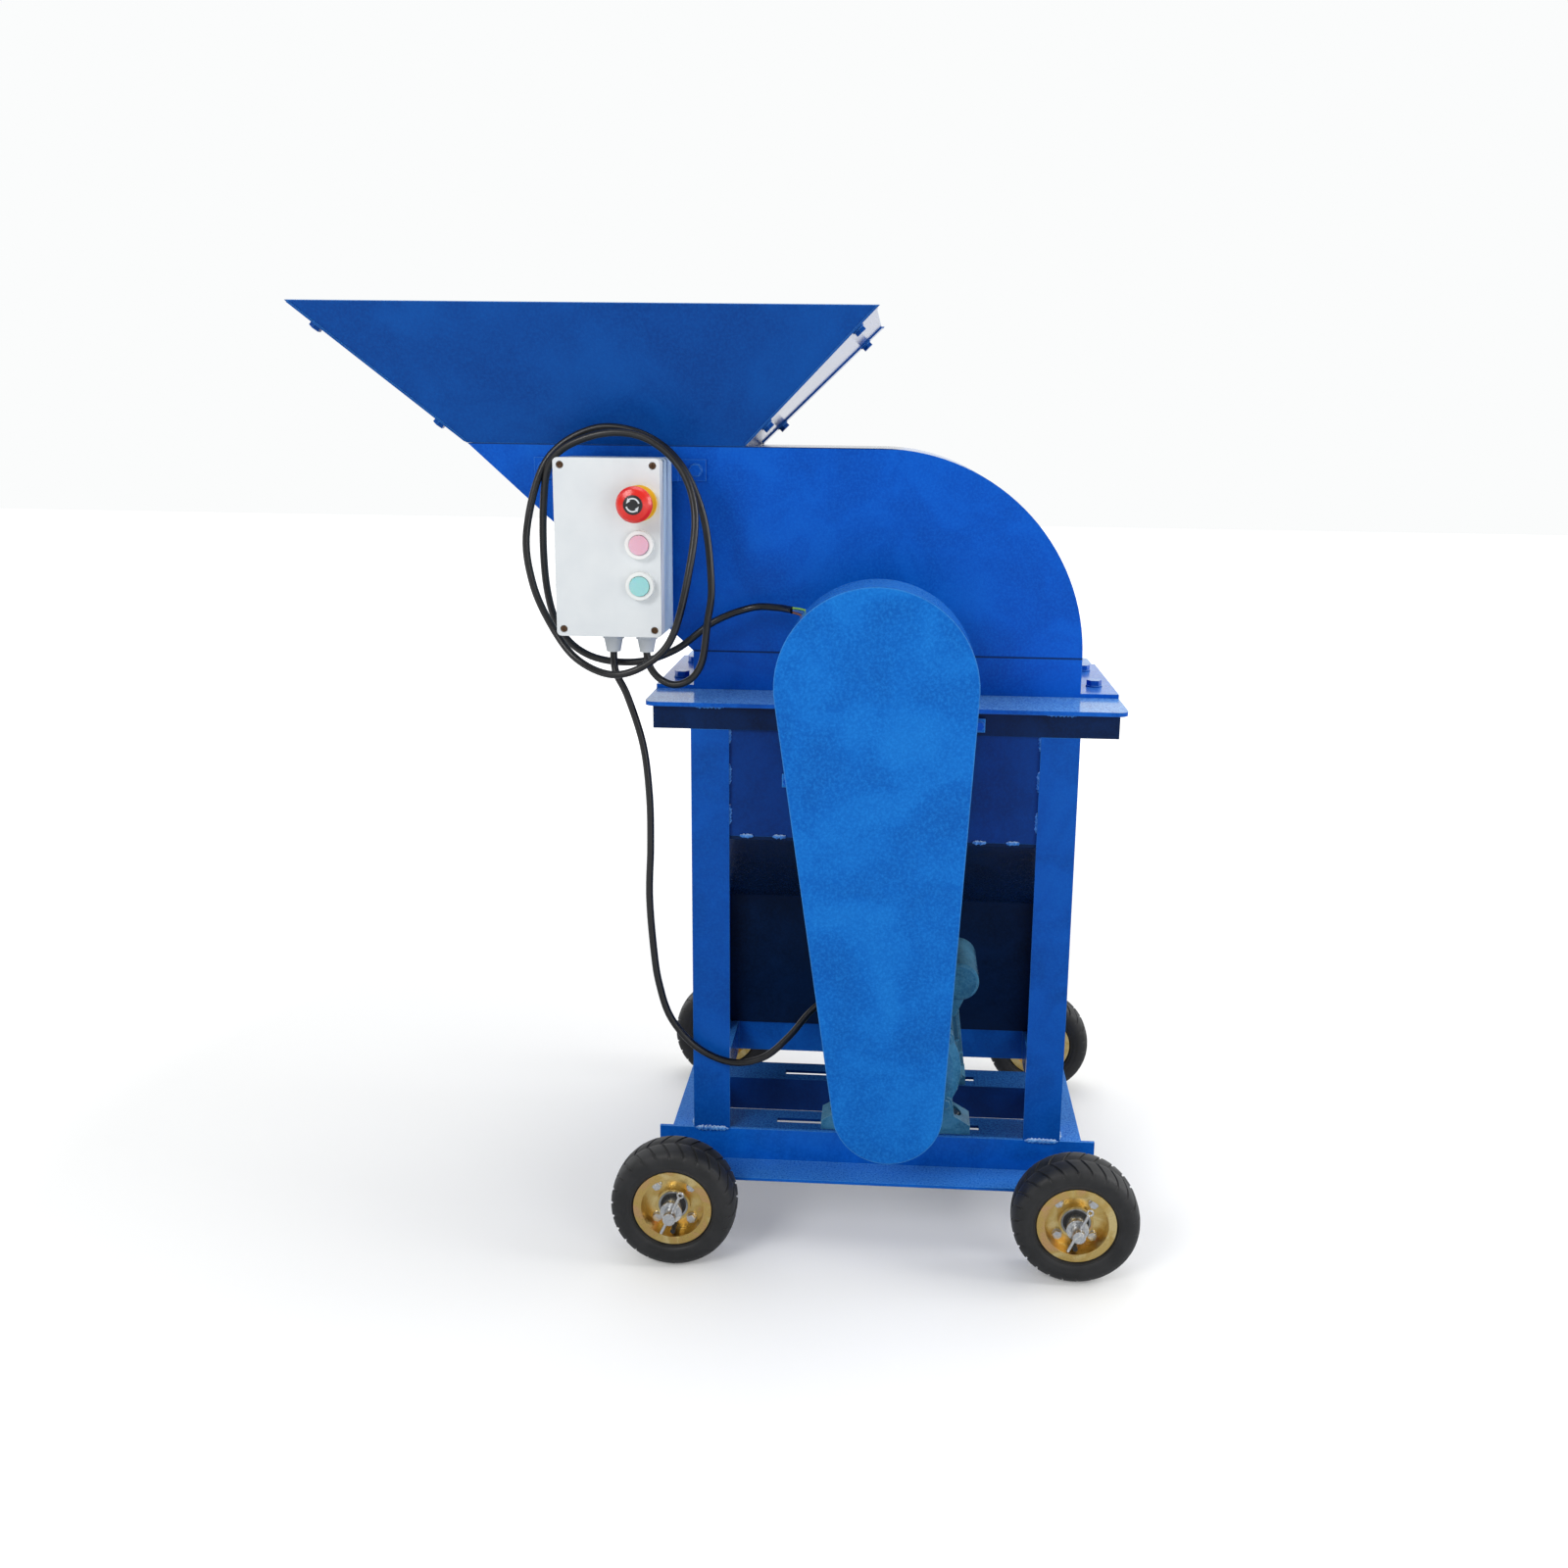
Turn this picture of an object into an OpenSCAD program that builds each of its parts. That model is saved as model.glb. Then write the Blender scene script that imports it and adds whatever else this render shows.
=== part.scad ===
// Hammer mill on a wheeled angle-iron stand, with a belt-driven rotor of swinging hammers.
// Lengths are in millimetres. X runs along the machine, Y from the belt side to the back, Z up.
// The origin is on the floor, midway along the whole machine and midway between its wheels.

/* [Stand] */
// Width across the legs
frame_w = 451; // [420:1:520]
// Depth across the legs
frame_d = 305; // [290:1:370]
// Width of the angle iron's two legs
iron_w = 45; // [38:1:54]
// Thickness of the angle iron
iron_t = 4; // [3:0.5:5]
// Length of the front legs
leg_h = 507.5; // [450:0.5:610]
// Length of the front and rear base rails
rail_l = 536; // [500:1:640]
// Height of the top ring
band_h = 28; // [24:1:34]
// How far the top ring passes the legs at the sides and the back
band_over = 44; // [40:1:53]
// Width of the top ring's flange
band_flange = 24; // [20:1:24]
// Thickness of the top plate
plate_t = 5; // [4:0.5:6]
// How far the top plate passes the top ring
plate_lip = 9; // [6:1:12]

/* [Wheels] */
// Outer radius of a tyre
wheel_r = 75; // [70:1:90]
// Width of a tyre
tyre_w = 50; // [46:1:50]
// Radius of the cross axles
axle_r = 7.5; // [6.5:0.5:9]
// Distance between the wheels along the machine
wheel_base = 474; // [440:1:570]
// Distance between the wheels across the machine
wheel_track = 455; // [455:1:546]

/* [Mill housing] */
// Length of the housing over the screen
housing_l = 466; // [450:1:500]
// Depth of the housing
housing_d = 206; // [200:1:210]
// Distance of the housing's belt side from the middle of the stand
housing_front = 80.5; // [78:0.5:84]
// Thickness of the housing's side walls
wall_t = 4; // [3:0.5:5]
// Thickness of the rolled wrapper
wrap_t = 3; // [2:0.5:4]
// Height of the lower housing
lower_h = 47; // [40:1:50]
// Radius of the housing's rounded end
arc_r = 243; // [236:1:260]
// How far the throat reaches past the lower housing
throat_reach = 267; // [240:1:300]
// Length of the mouth under the hopper
mouth_l = 319; // [280:1:320]

/* [Hopper] */
// Height of the hopper
hopper_h = 156; // [130:1:190]
// How far the hopper's left side leans out
flare_left = 182; // [150:1:220]
// How far the hopper's right side leans out
flare_right = 156; // [130:1:190]
// How far its front and back lean out
flare_side = 60; // [50:1:75]
// Thickness of the hopper's sheet
sheet_t = 2; // [1.5:0.5:3]

/* [Rotor] */
// Radius of the rotor shaft
shaft_r = 12.5; // [10:0.5:15]
// Radius of the circle that the hammer pins lie on
pin_circle_r = 95; // [92:1:98]
// Radius of a hammer pin
pin_r = 8; // [6.5:0.5:9.5]
// Distance from the pin to the hammer's tip
hammer_l = 83; // [69:1:88]
// Width of a hammer
hammer_w = 40; // [32:1:44]
// Thickness of a hammer
hammer_t = 6; // [4:0.5:8]
// Distance between the rotor discs
disc_pitch = 46; // [42:1:50]
// Inner radius of the screen
screen_r = 190; // [186:1:192]
// Radius of the holes in the screen
screen_hole_r = 5; // [3:0.5:6]

/* [Drive] */
// Pitch diameter of the rotor pulley
rotor_pitch_d = 160; // [140:1:180]
// Pitch diameter of the motor pulley
motor_pitch_d = 80; // [76:1:82]
// Height of the motor's axis above its feet
motor_axis_h = 90; // [90:1:108]
// Radius of the motor's finned body
motor_r = 82; // [70:1:84]
// Radius of the belt guard's upper end
guard_top_r = 112; // [104:1:130]
// Radius of the belt guard's lower end
guard_low_r = 64; // [62:1:76]
// Depth of the belt guard
guard_d = 80; // [72:1:84]

/* [Switch box] */
// Width of the switch box
box_w = 120; // [110:1:126]
// Height of the switch box
box_h = 200; // [190:1:205]
// Distance between the push-buttons
button_pitch = 46; // [42:1:50]
// Radius of the emergency stop's mushroom head
stop_head_r = 20; // [16:1:22]

/* [Leads] */
// Radius of the two rubber leads
lead_r = 4.25; // [3.5:0.25:4.5]

/* [Hidden] */
$fn = 48;

// Clearances
run_gap = 0.08;      // radial clearance of a shaft in its bearing
bolt_gap = 0.5;      // radial clearance of a bolt in its hole
seat_gap = 0.3;      // clearance of curved or slanted faces that meet

// Heights, from the floor up
rail_z = wheel_r + axle_r;
rail_top = rail_z + iron_w;
band_z = rail_top + leg_h;
plate_z = band_z + band_h;
plate_top = plate_z + plate_t;
split_z = plate_top + lower_h;
roof_z = split_z + arc_r;
rim_z = roof_z + hopper_h;

// Stand
leg_y = frame_d / 2;
band_x = frame_w / 2 + band_over;
band_back = leg_y + band_over;
plate_x = band_x + plate_lip;
plate_corner = 12;
side_rail_in = frame_w / 2 - 18.5;
motor_rail_y = [-leg_y + iron_t, -22.5];
slot_l = 252;
slot_w = 11;

// Mill housing
housing_x = housing_l / 2;
front_y = -housing_front;
back_y = housing_d - housing_front;
arc_x = housing_x - arc_r;
throat_x = -housing_x - throat_reach;
mouth_x0 = throat_x + 5;
mouth_x1 = mouth_x0 + mouth_l;
cheek_t = 4;
cheek_r = screen_r + 10;
screen_t = 3;
foot_t = 5;

// Rotor
rotor_x = -10;
rotor_y = (front_y + back_y) / 2;
bearing_h = 36.5;
rotor_z = plate_top + bearing_h;
disc_r = pin_circle_r + pin_r + 9;
disc_t = 5;
disc_count = 4;
hub_r = 35;
stagger = 8;
hammer_tail = 15;
shaft_hole_r = shaft_r + 1.5;

// Pillow blocks
block_l = 140;
block_w = 38;
block_base_h = 14;
block_bolt_x = 52.5;
block_y = [-116.5, back_y + 36];
insert_r = shaft_r + 13.5;

// Motor
motor_x = 24;
motor_z = rail_top + motor_axis_h;
motor_bolt_x = 70;
motor_bolt_y = [-127.5, -2.5];
motor_shaft_r = 12;
foot_h = 12;
body_y = [-146, 20];

// Drive
belt_y = [-211, -197];
belt_w = 8;
belt_h = 7;
pulley_w = 34;
guard_t = 3;
guard_back = -(leg_y + 10);
guard_front = guard_back - guard_d;
guard_top = [rotor_x + 1.5, rotor_z - 1];
guard_low = [motor_x - 10, motor_z - 12];

// Switch box
box_x = -314;
box_z0 = 745;
box_z1 = box_z0 + box_h;
box_back = front_y - 19;
box_split = box_back - 55;
box_front = box_split - 20;
box_wall = 3;
box_corner = 5;
button_x = box_x + 37;
button_z = [box_z0 + 59, box_z0 + 59 + button_pitch, box_z0 + 59 + 2 * button_pitch];
barrel_r = 11;
collar_r = 16;
stem_r = 6;
gland_x = [box_x - 4, box_x + 35];
gland_y = -135;
gland_h = 23;
strap_bolt_x = [-408, -228];
strap_z = box_z1 - 15;

// Base of the whole machine: its middle lies on the origin
seam_reach = 5;
hopper_left = mouth_x0 - flare_left - seam_reach;
mill_x = -(hopper_left + wheel_base / 2 + wheel_r) / 2;
axle_end = wheel_track / 2 + 42.5;

// Colours
blue = "#0b58b8";
deep_blue = "#0a4696";
pale_grey = "#dfe3e4";
zinc = "#c9c6bd";
gold_zinc = "#c9a23e";
black_rubber = "#1a1a1b";
motor_green = "#3d5f66";
steel = "#8d9093";

// Middle of the supply lead: out of the box, twice round it, then along the housing
supply_route = [[-279, -135, 732], [-279, -135, 718], [-274, -137, 702], [-262, -140, 690], [-245, -144, 685],
    [-228, -146, 691], [-216, -147, 705], [-210, -148, 724], [-206, -146, 760], [-202, -141, 802],
    [-212, -133, 880], [-240, -128, 940], [-284, -126, 972],
    [-340, -126, 976], [-392, -132, 940], [-415, -140, 862], [-410, -142, 802], [-388, -146, 752],
    [-356, -160, 716], [-310, -184, 703], [-270, -189, 716], [-240, -187, 748], [-222, -180, 818],
    [-217, -163, 886], [-236, -152, 936], [-278, -146, 968], [-330, -144, 970], [-382, -138, 944],
    [-398, -128, 890], [-400, -120, 800], [-386, -114, 742], [-350, -116, 712], [-296, -116, 706],
    [-248, -116, 722], [-204, -112, 755], [-160, -107, 772], [-128, -122, 775], [-108, -142, 775]];
// Middle of the motor lead: out of the box, down past the stand and up to the motor
motor_route = [[-318, -135, 732], [-318, -135, 710], [-314, -139, 694], [-300, -147, 670], [-281, -156, 615],
    [-273, -163, 555], [-272, -166, 495], [-274, -167, 434], [-270, -167, 368], [-264, -167, 323],
    [-250, -166, 278], [-219, -164, 240], [-177, -162, 221], [-139, -156, 226], [-110, -141, 246],
    [-86, -122, 270], [-67, -112, 284]];
// Middles of the three bare cores at the end of the supply lead
core_r = 1.3;
core_routes = [for (k = [-1 : 1])
    [[-107, -142, 775 + 2.6 * k], [-94, -146, 772 + 4 * k], [-80, -148, 762 + 8 * k]]];

// ---- Helpers -------------------------------------------------------------------------------

module mill() { translate([mill_x, 0, 0]) children(); }
module block(lo, hi) { translate(lo) cube(hi - lo); }
module mirror_x() { children(); mirror([1, 0, 0]) children(); }
module mirror_y() { children(); mirror([0, 1, 0]) children(); }

// A drawing in (Y, Z) drawn out along X, and one in (X, Z) drawn out along Y
module along_x(x0, x1) { translate([x0, 0, 0]) rotate([90, 0, 90]) linear_extrude(x1 - x0) children(); }
module along_y(y0, y1) { translate([0, y1, 0]) rotate([90, 0, 0]) linear_extrude(y1 - y0) children(); }
module rod_y(x, z, y0, y1, r) { translate([x, y1, z]) rotate([90, 0, 0]) cylinder(r = r, h = y1 - y0); }
module tube_y(x, z, y0, y1, r, bore) {
    difference() {
        rod_y(x, z, y0, y1, r);
        rod_y(x, z, y0 - 1, y1 + 1, bore);
    }
}
// A turned piece about an axis along Y at (x, z); its outline is drawn as (radius, Y)
module turned_y(x, z) { translate([x, 0, z]) rotate([-90, 0, 0]) rotate_extrude($fn = 64) children(); }

// Angle iron's section with its outer corner on the origin
module iron() {
    polygon([[0, 0], [iron_w, 0], [iron_w, iron_t], [iron_t, iron_t], [iron_t, iron_w], [0, iron_w]]);
}
module rounded(lo, hi, r) {
    offset(r, $fn = 24) translate(lo + [r, r]) square(hi - lo - 2 * [r, r]);
}

// Bolt of diameter d along Z, seated on z = 0 with its head up, through a grip to its nut below
function af_r(d) = 0.8 * d / cos(30);
function washer_h(d) = 0.16 * d;
function nut_h(d) = 0.8 * d;
module hex(d, h) { cylinder(r = af_r(d), h = h, $fn = 6); }
module ring(r, bore, h) {
    difference() {
        cylinder(r = r, h = h);
        translate([0, 0, -1]) cylinder(r = bore, h = h + 2);
    }
}
module bolt(d, grip, nut = true) {
    tail = nut ? nut_h(d) + 2 : 0;
    translate([0, 0, washer_h(d)]) hex(d, 0.64 * d);
    translate([0, 0, -grip - tail]) cylinder(r = d / 2, h = grip + tail + washer_h(d) + 1);
    ring(d, d / 2 + run_gap, washer_h(d));
    if (nut) translate([0, 0, -grip - nut_h(d)]) difference() {
        hex(d, nut_h(d));
        translate([0, 0, -1]) cylinder(r = d / 2 + run_gap, h = nut_h(d) + 2);
    }
}
module bolt_hole(d, grip) { translate([0, 0, -grip - 1]) cylinder(r = d / 2 + bolt_gap, h = grip + 2); }

// Two circles joined by their outer tangents
function dir(a) = [cos(a), sin(a)];
module loop(c1, r1, c2, r2) {
    base = atan2(c2.y - c1.y, c2.x - c1.x);
    lean = acos((r1 - r2) / norm(c2 - c1));
    // The sides cross the circles a hair inside them, so that the outline has clean corners
    e1 = r1 - 0.02;
    e2 = r2 - 0.02;
    translate(c1) circle(r1);
    translate(c2) circle(r2);
    polygon([c1 + e1 * dir(base + lean), c2 + e2 * dir(base + lean),
             c2 + e2 * dir(base - lean), c1 + e1 * dir(base - lean)]);
}

// A frame standing on a slope: its x runs along, its y up the slope, its z out of it
module on_slope(at, along, up) {
    out = cross(along, up);
    multmatrix([[along.x, up.x, out.x, at.x], [along.y, up.y, out.y, at.y],
                [along.z, up.z, out.z, at.z], [0, 0, 0, 1]]) children();
}

// A smooth line through points, with n steps to a span, and a round tube along it
function smooth(p, n) = concat(
    [for (i = [0 : len(p) - 2]) for (k = [0 : n - 1])
        let (a = p[max(i - 1, 0)], b = p[i], c = p[i + 1], d = p[min(i + 2, len(p) - 1)], t = k / n)
        0.5 * (2 * b + (c - a) * t + (2 * a - 5 * b + 4 * c - d) * t * t
               + (3 * b - a - 3 * c + d) * t * t * t)],
    [p[len(p) - 1]]);
function unit(v) = v / norm(v);
function tangent(p, i) = unit(p[min(i + 1, len(p) - 1)] - p[max(i - 1, 0)]);
function square_to(n, t) = unit(n - (n * t) * t);
function normals(p) = [for (i = 0, n = square_to([0.3, 0.5, 0.8], tangent(p, 0)); i < len(p);
    i = i + 1, n = i < len(p) ? square_to(n, tangent(p, i)) : n) n];
module tube(p, r, sides = 8) {
    n = normals(p);
    last = (len(p) - 1) * sides;
    points = [for (i = [0 : len(p) - 1]) let (t = tangent(p, i), b = cross(t, n[i]))
        for (k = [0 : sides - 1]) let (a = 360 * k / sides) p[i] + r * (cos(a) * n[i] + sin(a) * b)];
    skin = [for (i = [0 : len(p) - 2]) for (k = [0 : sides - 1])
        let (a = i * sides + k, b = i * sides + (k + 1) % sides)
        each [[a, a + sides, b + sides], [a, b + sides, b]]];
    caps = [[for (k = [0 : sides - 1]) k], [for (k = [sides - 1 : -1 : 0]) last + k]];
    polyhedron(points, concat(skin, caps));
}

// ---- Stand ---------------------------------------------------------------------------------

module base_rails() {
    color(deep_blue) mill() {
        mirror_y() along_x(-rail_l / 2, rail_l / 2)
            translate([-(leg_y - iron_t), rail_z]) mirror([1, 0]) iron();
        mirror_x() along_y(-(leg_y - iron_t), leg_y - iron_t)
            translate([-side_rail_in, rail_top]) rotate(180) iron();
    }
}

module legs() {
    color(blue) mill() {
        mirror_x() translate([-frame_w / 2, -leg_y, rail_top]) linear_extrude(leg_h) iron();
        mirror_x() translate([-frame_w / 2, leg_y, rail_top])
            linear_extrude(leg_h + band_h) mirror([0, 1]) iron();
    }
}

foot_bolt_x = band_x - iron_t - 10;
foot_bolt_y = [front_y + 50, back_y - 50];
module at_foot_bolts() {
    for (x = [-foot_bolt_x, foot_bolt_x]) for (y = foot_bolt_y)
        translate([x, y, plate_top + foot_t]) children();
}
module at_block_bolts() {
    for (x = [-block_bolt_x, block_bolt_x]) for (y = block_y)
        translate([rotor_x + x, y, plate_top + block_base_h]) children();
}

module top_frame() {
    color(deep_blue) mill() difference() {
        block([-band_x, -leg_y, band_z], [band_x, band_back, plate_z]);
        block([-band_x + band_flange, -leg_y + band_flange, band_z - 1],
              [band_x - band_flange, band_back - band_flange, plate_z + 1]);
        block([-band_x + iron_t, -leg_y + iron_t, band_z - 1],
              [band_x - iron_t, band_back - iron_t, plate_z - iron_t]);
        at_foot_bolts() bolt_hole(10, foot_t + plate_t + iron_t);
        at_tab_bolts() bolt_hole(6, 3 * tab_t);
    }
}

module top_plate() {
    color(blue) mill() difference() {
        translate([0, 0, plate_z]) linear_extrude(plate_t)
            rounded([-plate_x, -leg_y - plate_lip], [plate_x, band_back + plate_lip], plate_corner);
        block([rotor_x - cheek_r - 5, front_y + wall_t - 0.5, plate_z - 1],
              [rotor_x + cheek_r + 5, back_y - wall_t + 0.5, plate_top + 1]);
        at_foot_bolts() bolt_hole(10, foot_t + plate_t + iron_t);
        at_block_bolts() bolt_hole(10, block_base_h + plate_t);
    }
}

module motor_rails() {
    color(deep_blue) mill() {
        for (k = [0, 1]) difference() {
            along_x(-side_rail_in, side_rail_in)
                translate([motor_rail_y[k], rail_top]) mirror([0, 1]) iron();
            block([2 - slot_l / 2, motor_bolt_y[k] - slot_w / 2, rail_top - iron_t - 1],
                  [2 + slot_l / 2, motor_bolt_y[k] + slot_w / 2, rail_top + 1]);
        }
    }
}

module discharge_skirt() {
    panel_t = 3;
    slide_low = 327;
    slide_high = 505;
    side_x = frame_w / 2 - iron_t;
    inside = leg_y - iron_t;
    color(deep_blue) mill() difference() {
        union() {
            block([-side_x, -inside, slide_high], [side_x, -inside + panel_t, plate_z - iron_t]);
            block([-side_x, inside - panel_t, 480], [side_x, inside, plate_z]);
            mirror_x() along_x(-side_x, -side_x + panel_t)
                polygon([[-inside, slide_high], [inside, slide_low], [inside, plate_z],
                         [-inside + band_flange - iron_t, plate_z],
                         [-inside + band_flange - iron_t, plate_z - iron_t], [-inside, plate_z - iron_t]]);
        }
        at_tab_bolts() bolt_hole(6, 5 * tab_t);
    }
}

module discharge_chute() {
    sheet = 3;
    side_x = frame_w / 2 - iron_t - 3;
    inside = leg_y - iron_t;
    color(deep_blue) mill() along_x(-side_x, side_x)
        polygon([[-inside, 505], [-inside, 501], [inside - sheet, 323], [inside - sheet, rail_top],
                 [inside, rail_top], [inside, 327]]);
}

// ---- Wheels --------------------------------------------------------------------------------

module axles() {
    color(zinc) mill() for (x = [-1, 1]) difference() {
        rod_y(x * wheel_base / 2, wheel_r, -axle_end, axle_end, axle_r);
        mirror_y() translate([x * wheel_base / 2, -pin_y, wheel_r]) rotate([0, pin_lean, 0])
            cylinder(r = pin_hole_r, h = 60, center = true);
    }
}

pin_y = wheel_track / 2 + 33;
pin_lean = 25;
pin_hole_r = 2.1;
bearing_w = 11;
bearing_out = wheel_track / 2 + 12;
module axle_retainers() {
    color(zinc) mill() for (x = [-1, 1]) mirror_y() translate([x * wheel_base / 2, 0, wheel_r]) {
        tube_y(0, 0, -bearing_out - 14, -bearing_out - 0.3, axle_r + 3.5, axle_r + run_gap);
        tube_y(0, 0, -bearing_out - 16, -bearing_out - 14, axle_r + 5.5, axle_r + run_gap);
        tube_y(0, 0, -wheel_track / 2 + 12.3, -wheel_track / 2 + 26, axle_r + 3.5, axle_r + run_gap);
        translate([0, -pin_y, 0]) rotate([0, pin_lean, 0]) {
            cylinder(r = 1.9, h = 52, center = true);
            translate([0, 0, 29]) rotate([90, 0, 0]) rotate_extrude() translate([3.2, 0]) circle(1.2);
        }
    }
}

module at_wheel(x, y) {
    mill() translate([x * wheel_base / 2, 0, wheel_r]) mirror([0, y > 0 ? 1 : 0, 0])
        translate([0, -wheel_track / 2, 0]) children();
}

rim_r = 40;
rim_flange_r = 46.5;
rim_half_w = 19.5;
// One side of a tyre's section: its outside from the bead to the tread, then its inside
function tyre_outside(w, r) = [[rim_r + 0.3, rim_half_w - 2.8], [rim_flange_r + 0.8, rim_half_w - 2.8],
    [rim_flange_r + 1.5, w * 0.41], [r * 0.73, w * 0.48], [r * 0.83, w * 0.5], [r * 0.92, w * 0.46],
    [r * 0.975, w * 0.36], [r, w * 0.18]];
function tyre_inside(w, r) = [[rim_r + 0.3, w * 0.2], [r * 0.62, w * 0.25], [r * 0.74, w * 0.36],
    [r * 0.85, w * 0.36], [r * 0.92, w * 0.24]];
function backwards(p) = [for (i = [len(p) - 1 : -1 : 0]) p[i]];
function flipped(p) = [for (q = p) [q.x, -q.y]];
module tyre(x, y) {
    outside = tyre_outside(tyre_w, wheel_r);
    inside = tyre_inside(tyre_w, wheel_r);
    color(black_rubber) at_wheel(x, y) turned_y(0, 0)
        polygon(concat(outside, backwards(flipped(outside)), flipped(inside), backwards(inside)));
}

module rim(x, y) {
    bolt_circle = 29;
    seat_r = 17.5;
    valve_r = 31;
    color(gold_zinc) at_wheel(x, y) {
        mirror_y() difference() {
            turned_y(0, 0) polygon([[seat_r, 0], [rim_r, 0], [rim_r, -rim_half_w + 2.5],
                [rim_flange_r, -rim_half_w + 2.5], [rim_flange_r, -rim_half_w], [rim_r - 3, -rim_half_w],
                [rim_r - 3, -3], [seat_r + 2.5, -3], [seat_r + 2.5, -12], [seat_r, -12]]);
            for (k = [0 : 3]) rotate([0, 45 + 90 * k, 0])
                rod_y(bolt_circle, 0, -5, 1, 3 + bolt_gap);
            rod_y(0, -valve_r, -5, 1, 3.2);
        }
        mirror_y() tube_y(0, 0, -11.5, -0.5, seat_r - 0.05, axle_r + 0.05);
        for (k = [0 : 3]) rotate([0, 45 + 90 * k, 0])
            translate([bolt_circle, -3, 0]) rotate([90, 0, 0]) bolt(6, 6);
        rod_y(0, -valve_r, -18, 4, 2.9);
    }
}

// ---- Mill housing --------------------------------------------------------------------------

module lower_housing() {
    color(blue) mill() difference() {
        union() {
            difference() {
                block([-housing_x, front_y, plate_top], [housing_x, back_y, split_z]);
                block([-housing_x + wall_t, front_y + wall_t, plate_top - 1],
                      [housing_x - wall_t, back_y - wall_t, split_z + 1]);
            }
            mirror_x() block([housing_x - 1, front_y, plate_top], [plate_x, back_y, plate_top + foot_t]);
            for (y = [front_y + wall_t, back_y - wall_t - cheek_t]) difference() {
                rod_y(rotor_x, rotor_z, y, y + cheek_t, cheek_r);
                block([rotor_x - cheek_r, y - 1, plate_top + 30],
                      [rotor_x + cheek_r, y + cheek_t + 1, rotor_z + cheek_r + 1]);
            }
        }
        rod_y(rotor_x, rotor_z, front_y - 1, back_y + 1, shaft_hole_r);
        at_foot_bolts() bolt_hole(10, foot_t + plate_t + iron_t);
    }
}

// The throat's slanted floor, moved inwards by t, reaches height z at this X
function floor_x(z, t) = let (run = throat_reach, rise = arc_r, l = norm([run, rise]))
    throat_x + t * rise / l - (z - roof_z - t * run / l) * run / rise;
module upper_housing() {
    color(blue) mill() difference() {
        along_y(front_y, back_y) {
            intersection() {
                translate([arc_x, split_z]) circle(arc_r);
                translate([arc_x, split_z]) square(arc_r);
            }
            polygon([[arc_x, split_z], [arc_x, roof_z], [throat_x, roof_z], [-housing_x, split_z]]);
        }
        along_y(front_y + wall_t, back_y - wall_t) {
            intersection() {
                translate([arc_x, split_z]) circle(arc_r - wrap_t);
                translate([arc_x, split_z]) square(arc_r);
            }
            translate([arc_x - 1, split_z - 1]) square([arc_r - wrap_t + 1, 2]);
            polygon([[arc_x, split_z - 1], [arc_x, roof_z - wrap_t], [mouth_x1, roof_z - wrap_t],
                     [mouth_x1, roof_z + 1], [floor_x(roof_z + 1, wrap_t), roof_z + 1],
                     [floor_x(split_z - 1, wrap_t), split_z - 1]]);
        }
        rod_y(rotor_x, rotor_z, front_y - 1, back_y + 1, shaft_hole_r);
        for (x = strap_bolt_x) translate([x, front_y, strap_z]) rotate([90, 0, 0]) bolt_hole(8, wall_t);
    }
}

module screen() {
    inner = front_y + wall_t + cheek_t;
    outer = back_y - wall_t - cheek_t;
    color(steel) mill() translate([rotor_x, 0, rotor_z]) difference() {
        along_y(inner, outer) difference() {
            circle(screen_r + screen_t);
            circle(screen_r);
            translate([-cheek_r, -bearing_h - 1]) square(2 * cheek_r);
        }
        for (a = [205 : 13 : 335]) for (k = [0 : 4])
            translate([0, inner + 24 + k * (outer - inner - 48) / 4, 0]) rotate([0, -a, 0])
                translate([screen_r - 2, 0, 0]) rotate([0, 90, 0])
                    cylinder(r = screen_hole_r, h = screen_t + 4);
    }
}

// ---- Hopper --------------------------------------------------------------------------------

// Leans of the plates from upright, and the gaps that keep their tilted feet off the roof
lean_left = atan(flare_left / hopper_h);
lean_right = atan(flare_right / hopper_h);
lean_side = atan(flare_side / hopper_h);
function foot_u(lean) = (sheet_t * sin(lean) + 0.2) / cos(lean);
seat_y0 = front_y + 2;
seat_y1 = back_y - 2;
seam_gap = 1;
flange_w = 20;
hopper_bolt_u = [0.18, 0.86];

module left_slope() {
    on_slope([mouth_x0, 0, roof_z], [0, -1, 0], [-sin(lean_left), 0, cos(lean_left)]) children();
}
module right_slope() {
    on_slope([mouth_x1, 0, roof_z], [0, 1, 0], [sin(lean_right), 0, cos(lean_right)]) children();
}
module front_slope() {
    on_slope([0, seat_y0, roof_z], [1, 0, 0], [0, -sin(lean_side), cos(lean_side)]) children();
}
module rear_slope() {
    on_slope([0, seat_y1, roof_z], [-1, 0, 0], [0, sin(lean_side), cos(lean_side)]) children();
}
// Plate between two edges a and b that spread by da and db over the slope's length
module trapezoid(a, b, da, db, lean, lift = 0) {
    l = hopper_h / cos(lean);
    f = foot_u(lean) / l;
    translate([0, 0, lift]) linear_extrude(sheet_t)
        polygon([[a + da * f, f * l], [b + db * f, f * l], [b + db, l], [a + da, l]]);
}
// The strip on a left or right plate's outside along the edge at v, folded from its neighbour
module fold_strip(v, dv, lean, inward) {
    l = hopper_h / cos(lean);
    f = (foot_u(lean) + 2 * sheet_t) / l;
    translate([0, 0, sheet_t]) linear_extrude(sheet_t)
        polygon([[v + dv * f - inward * 3, f * l], [v + dv * f + inward * flange_w, f * l],
                 [v + dv + inward * flange_w, l], [v + dv - inward * 3, l]]);
}
module at_hopper_bolts(v, dv, lean, inward) {
    for (s = hopper_bolt_u) translate([v + dv * s + inward * 11, s * hopper_h / cos(lean), 2 * sheet_t])
        children();
}
module hopper_hole(v, dv, lean, inward) {
    at_hopper_bolts(v, dv, lean, inward) bolt_hole(8, 2 * sheet_t);
}

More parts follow.
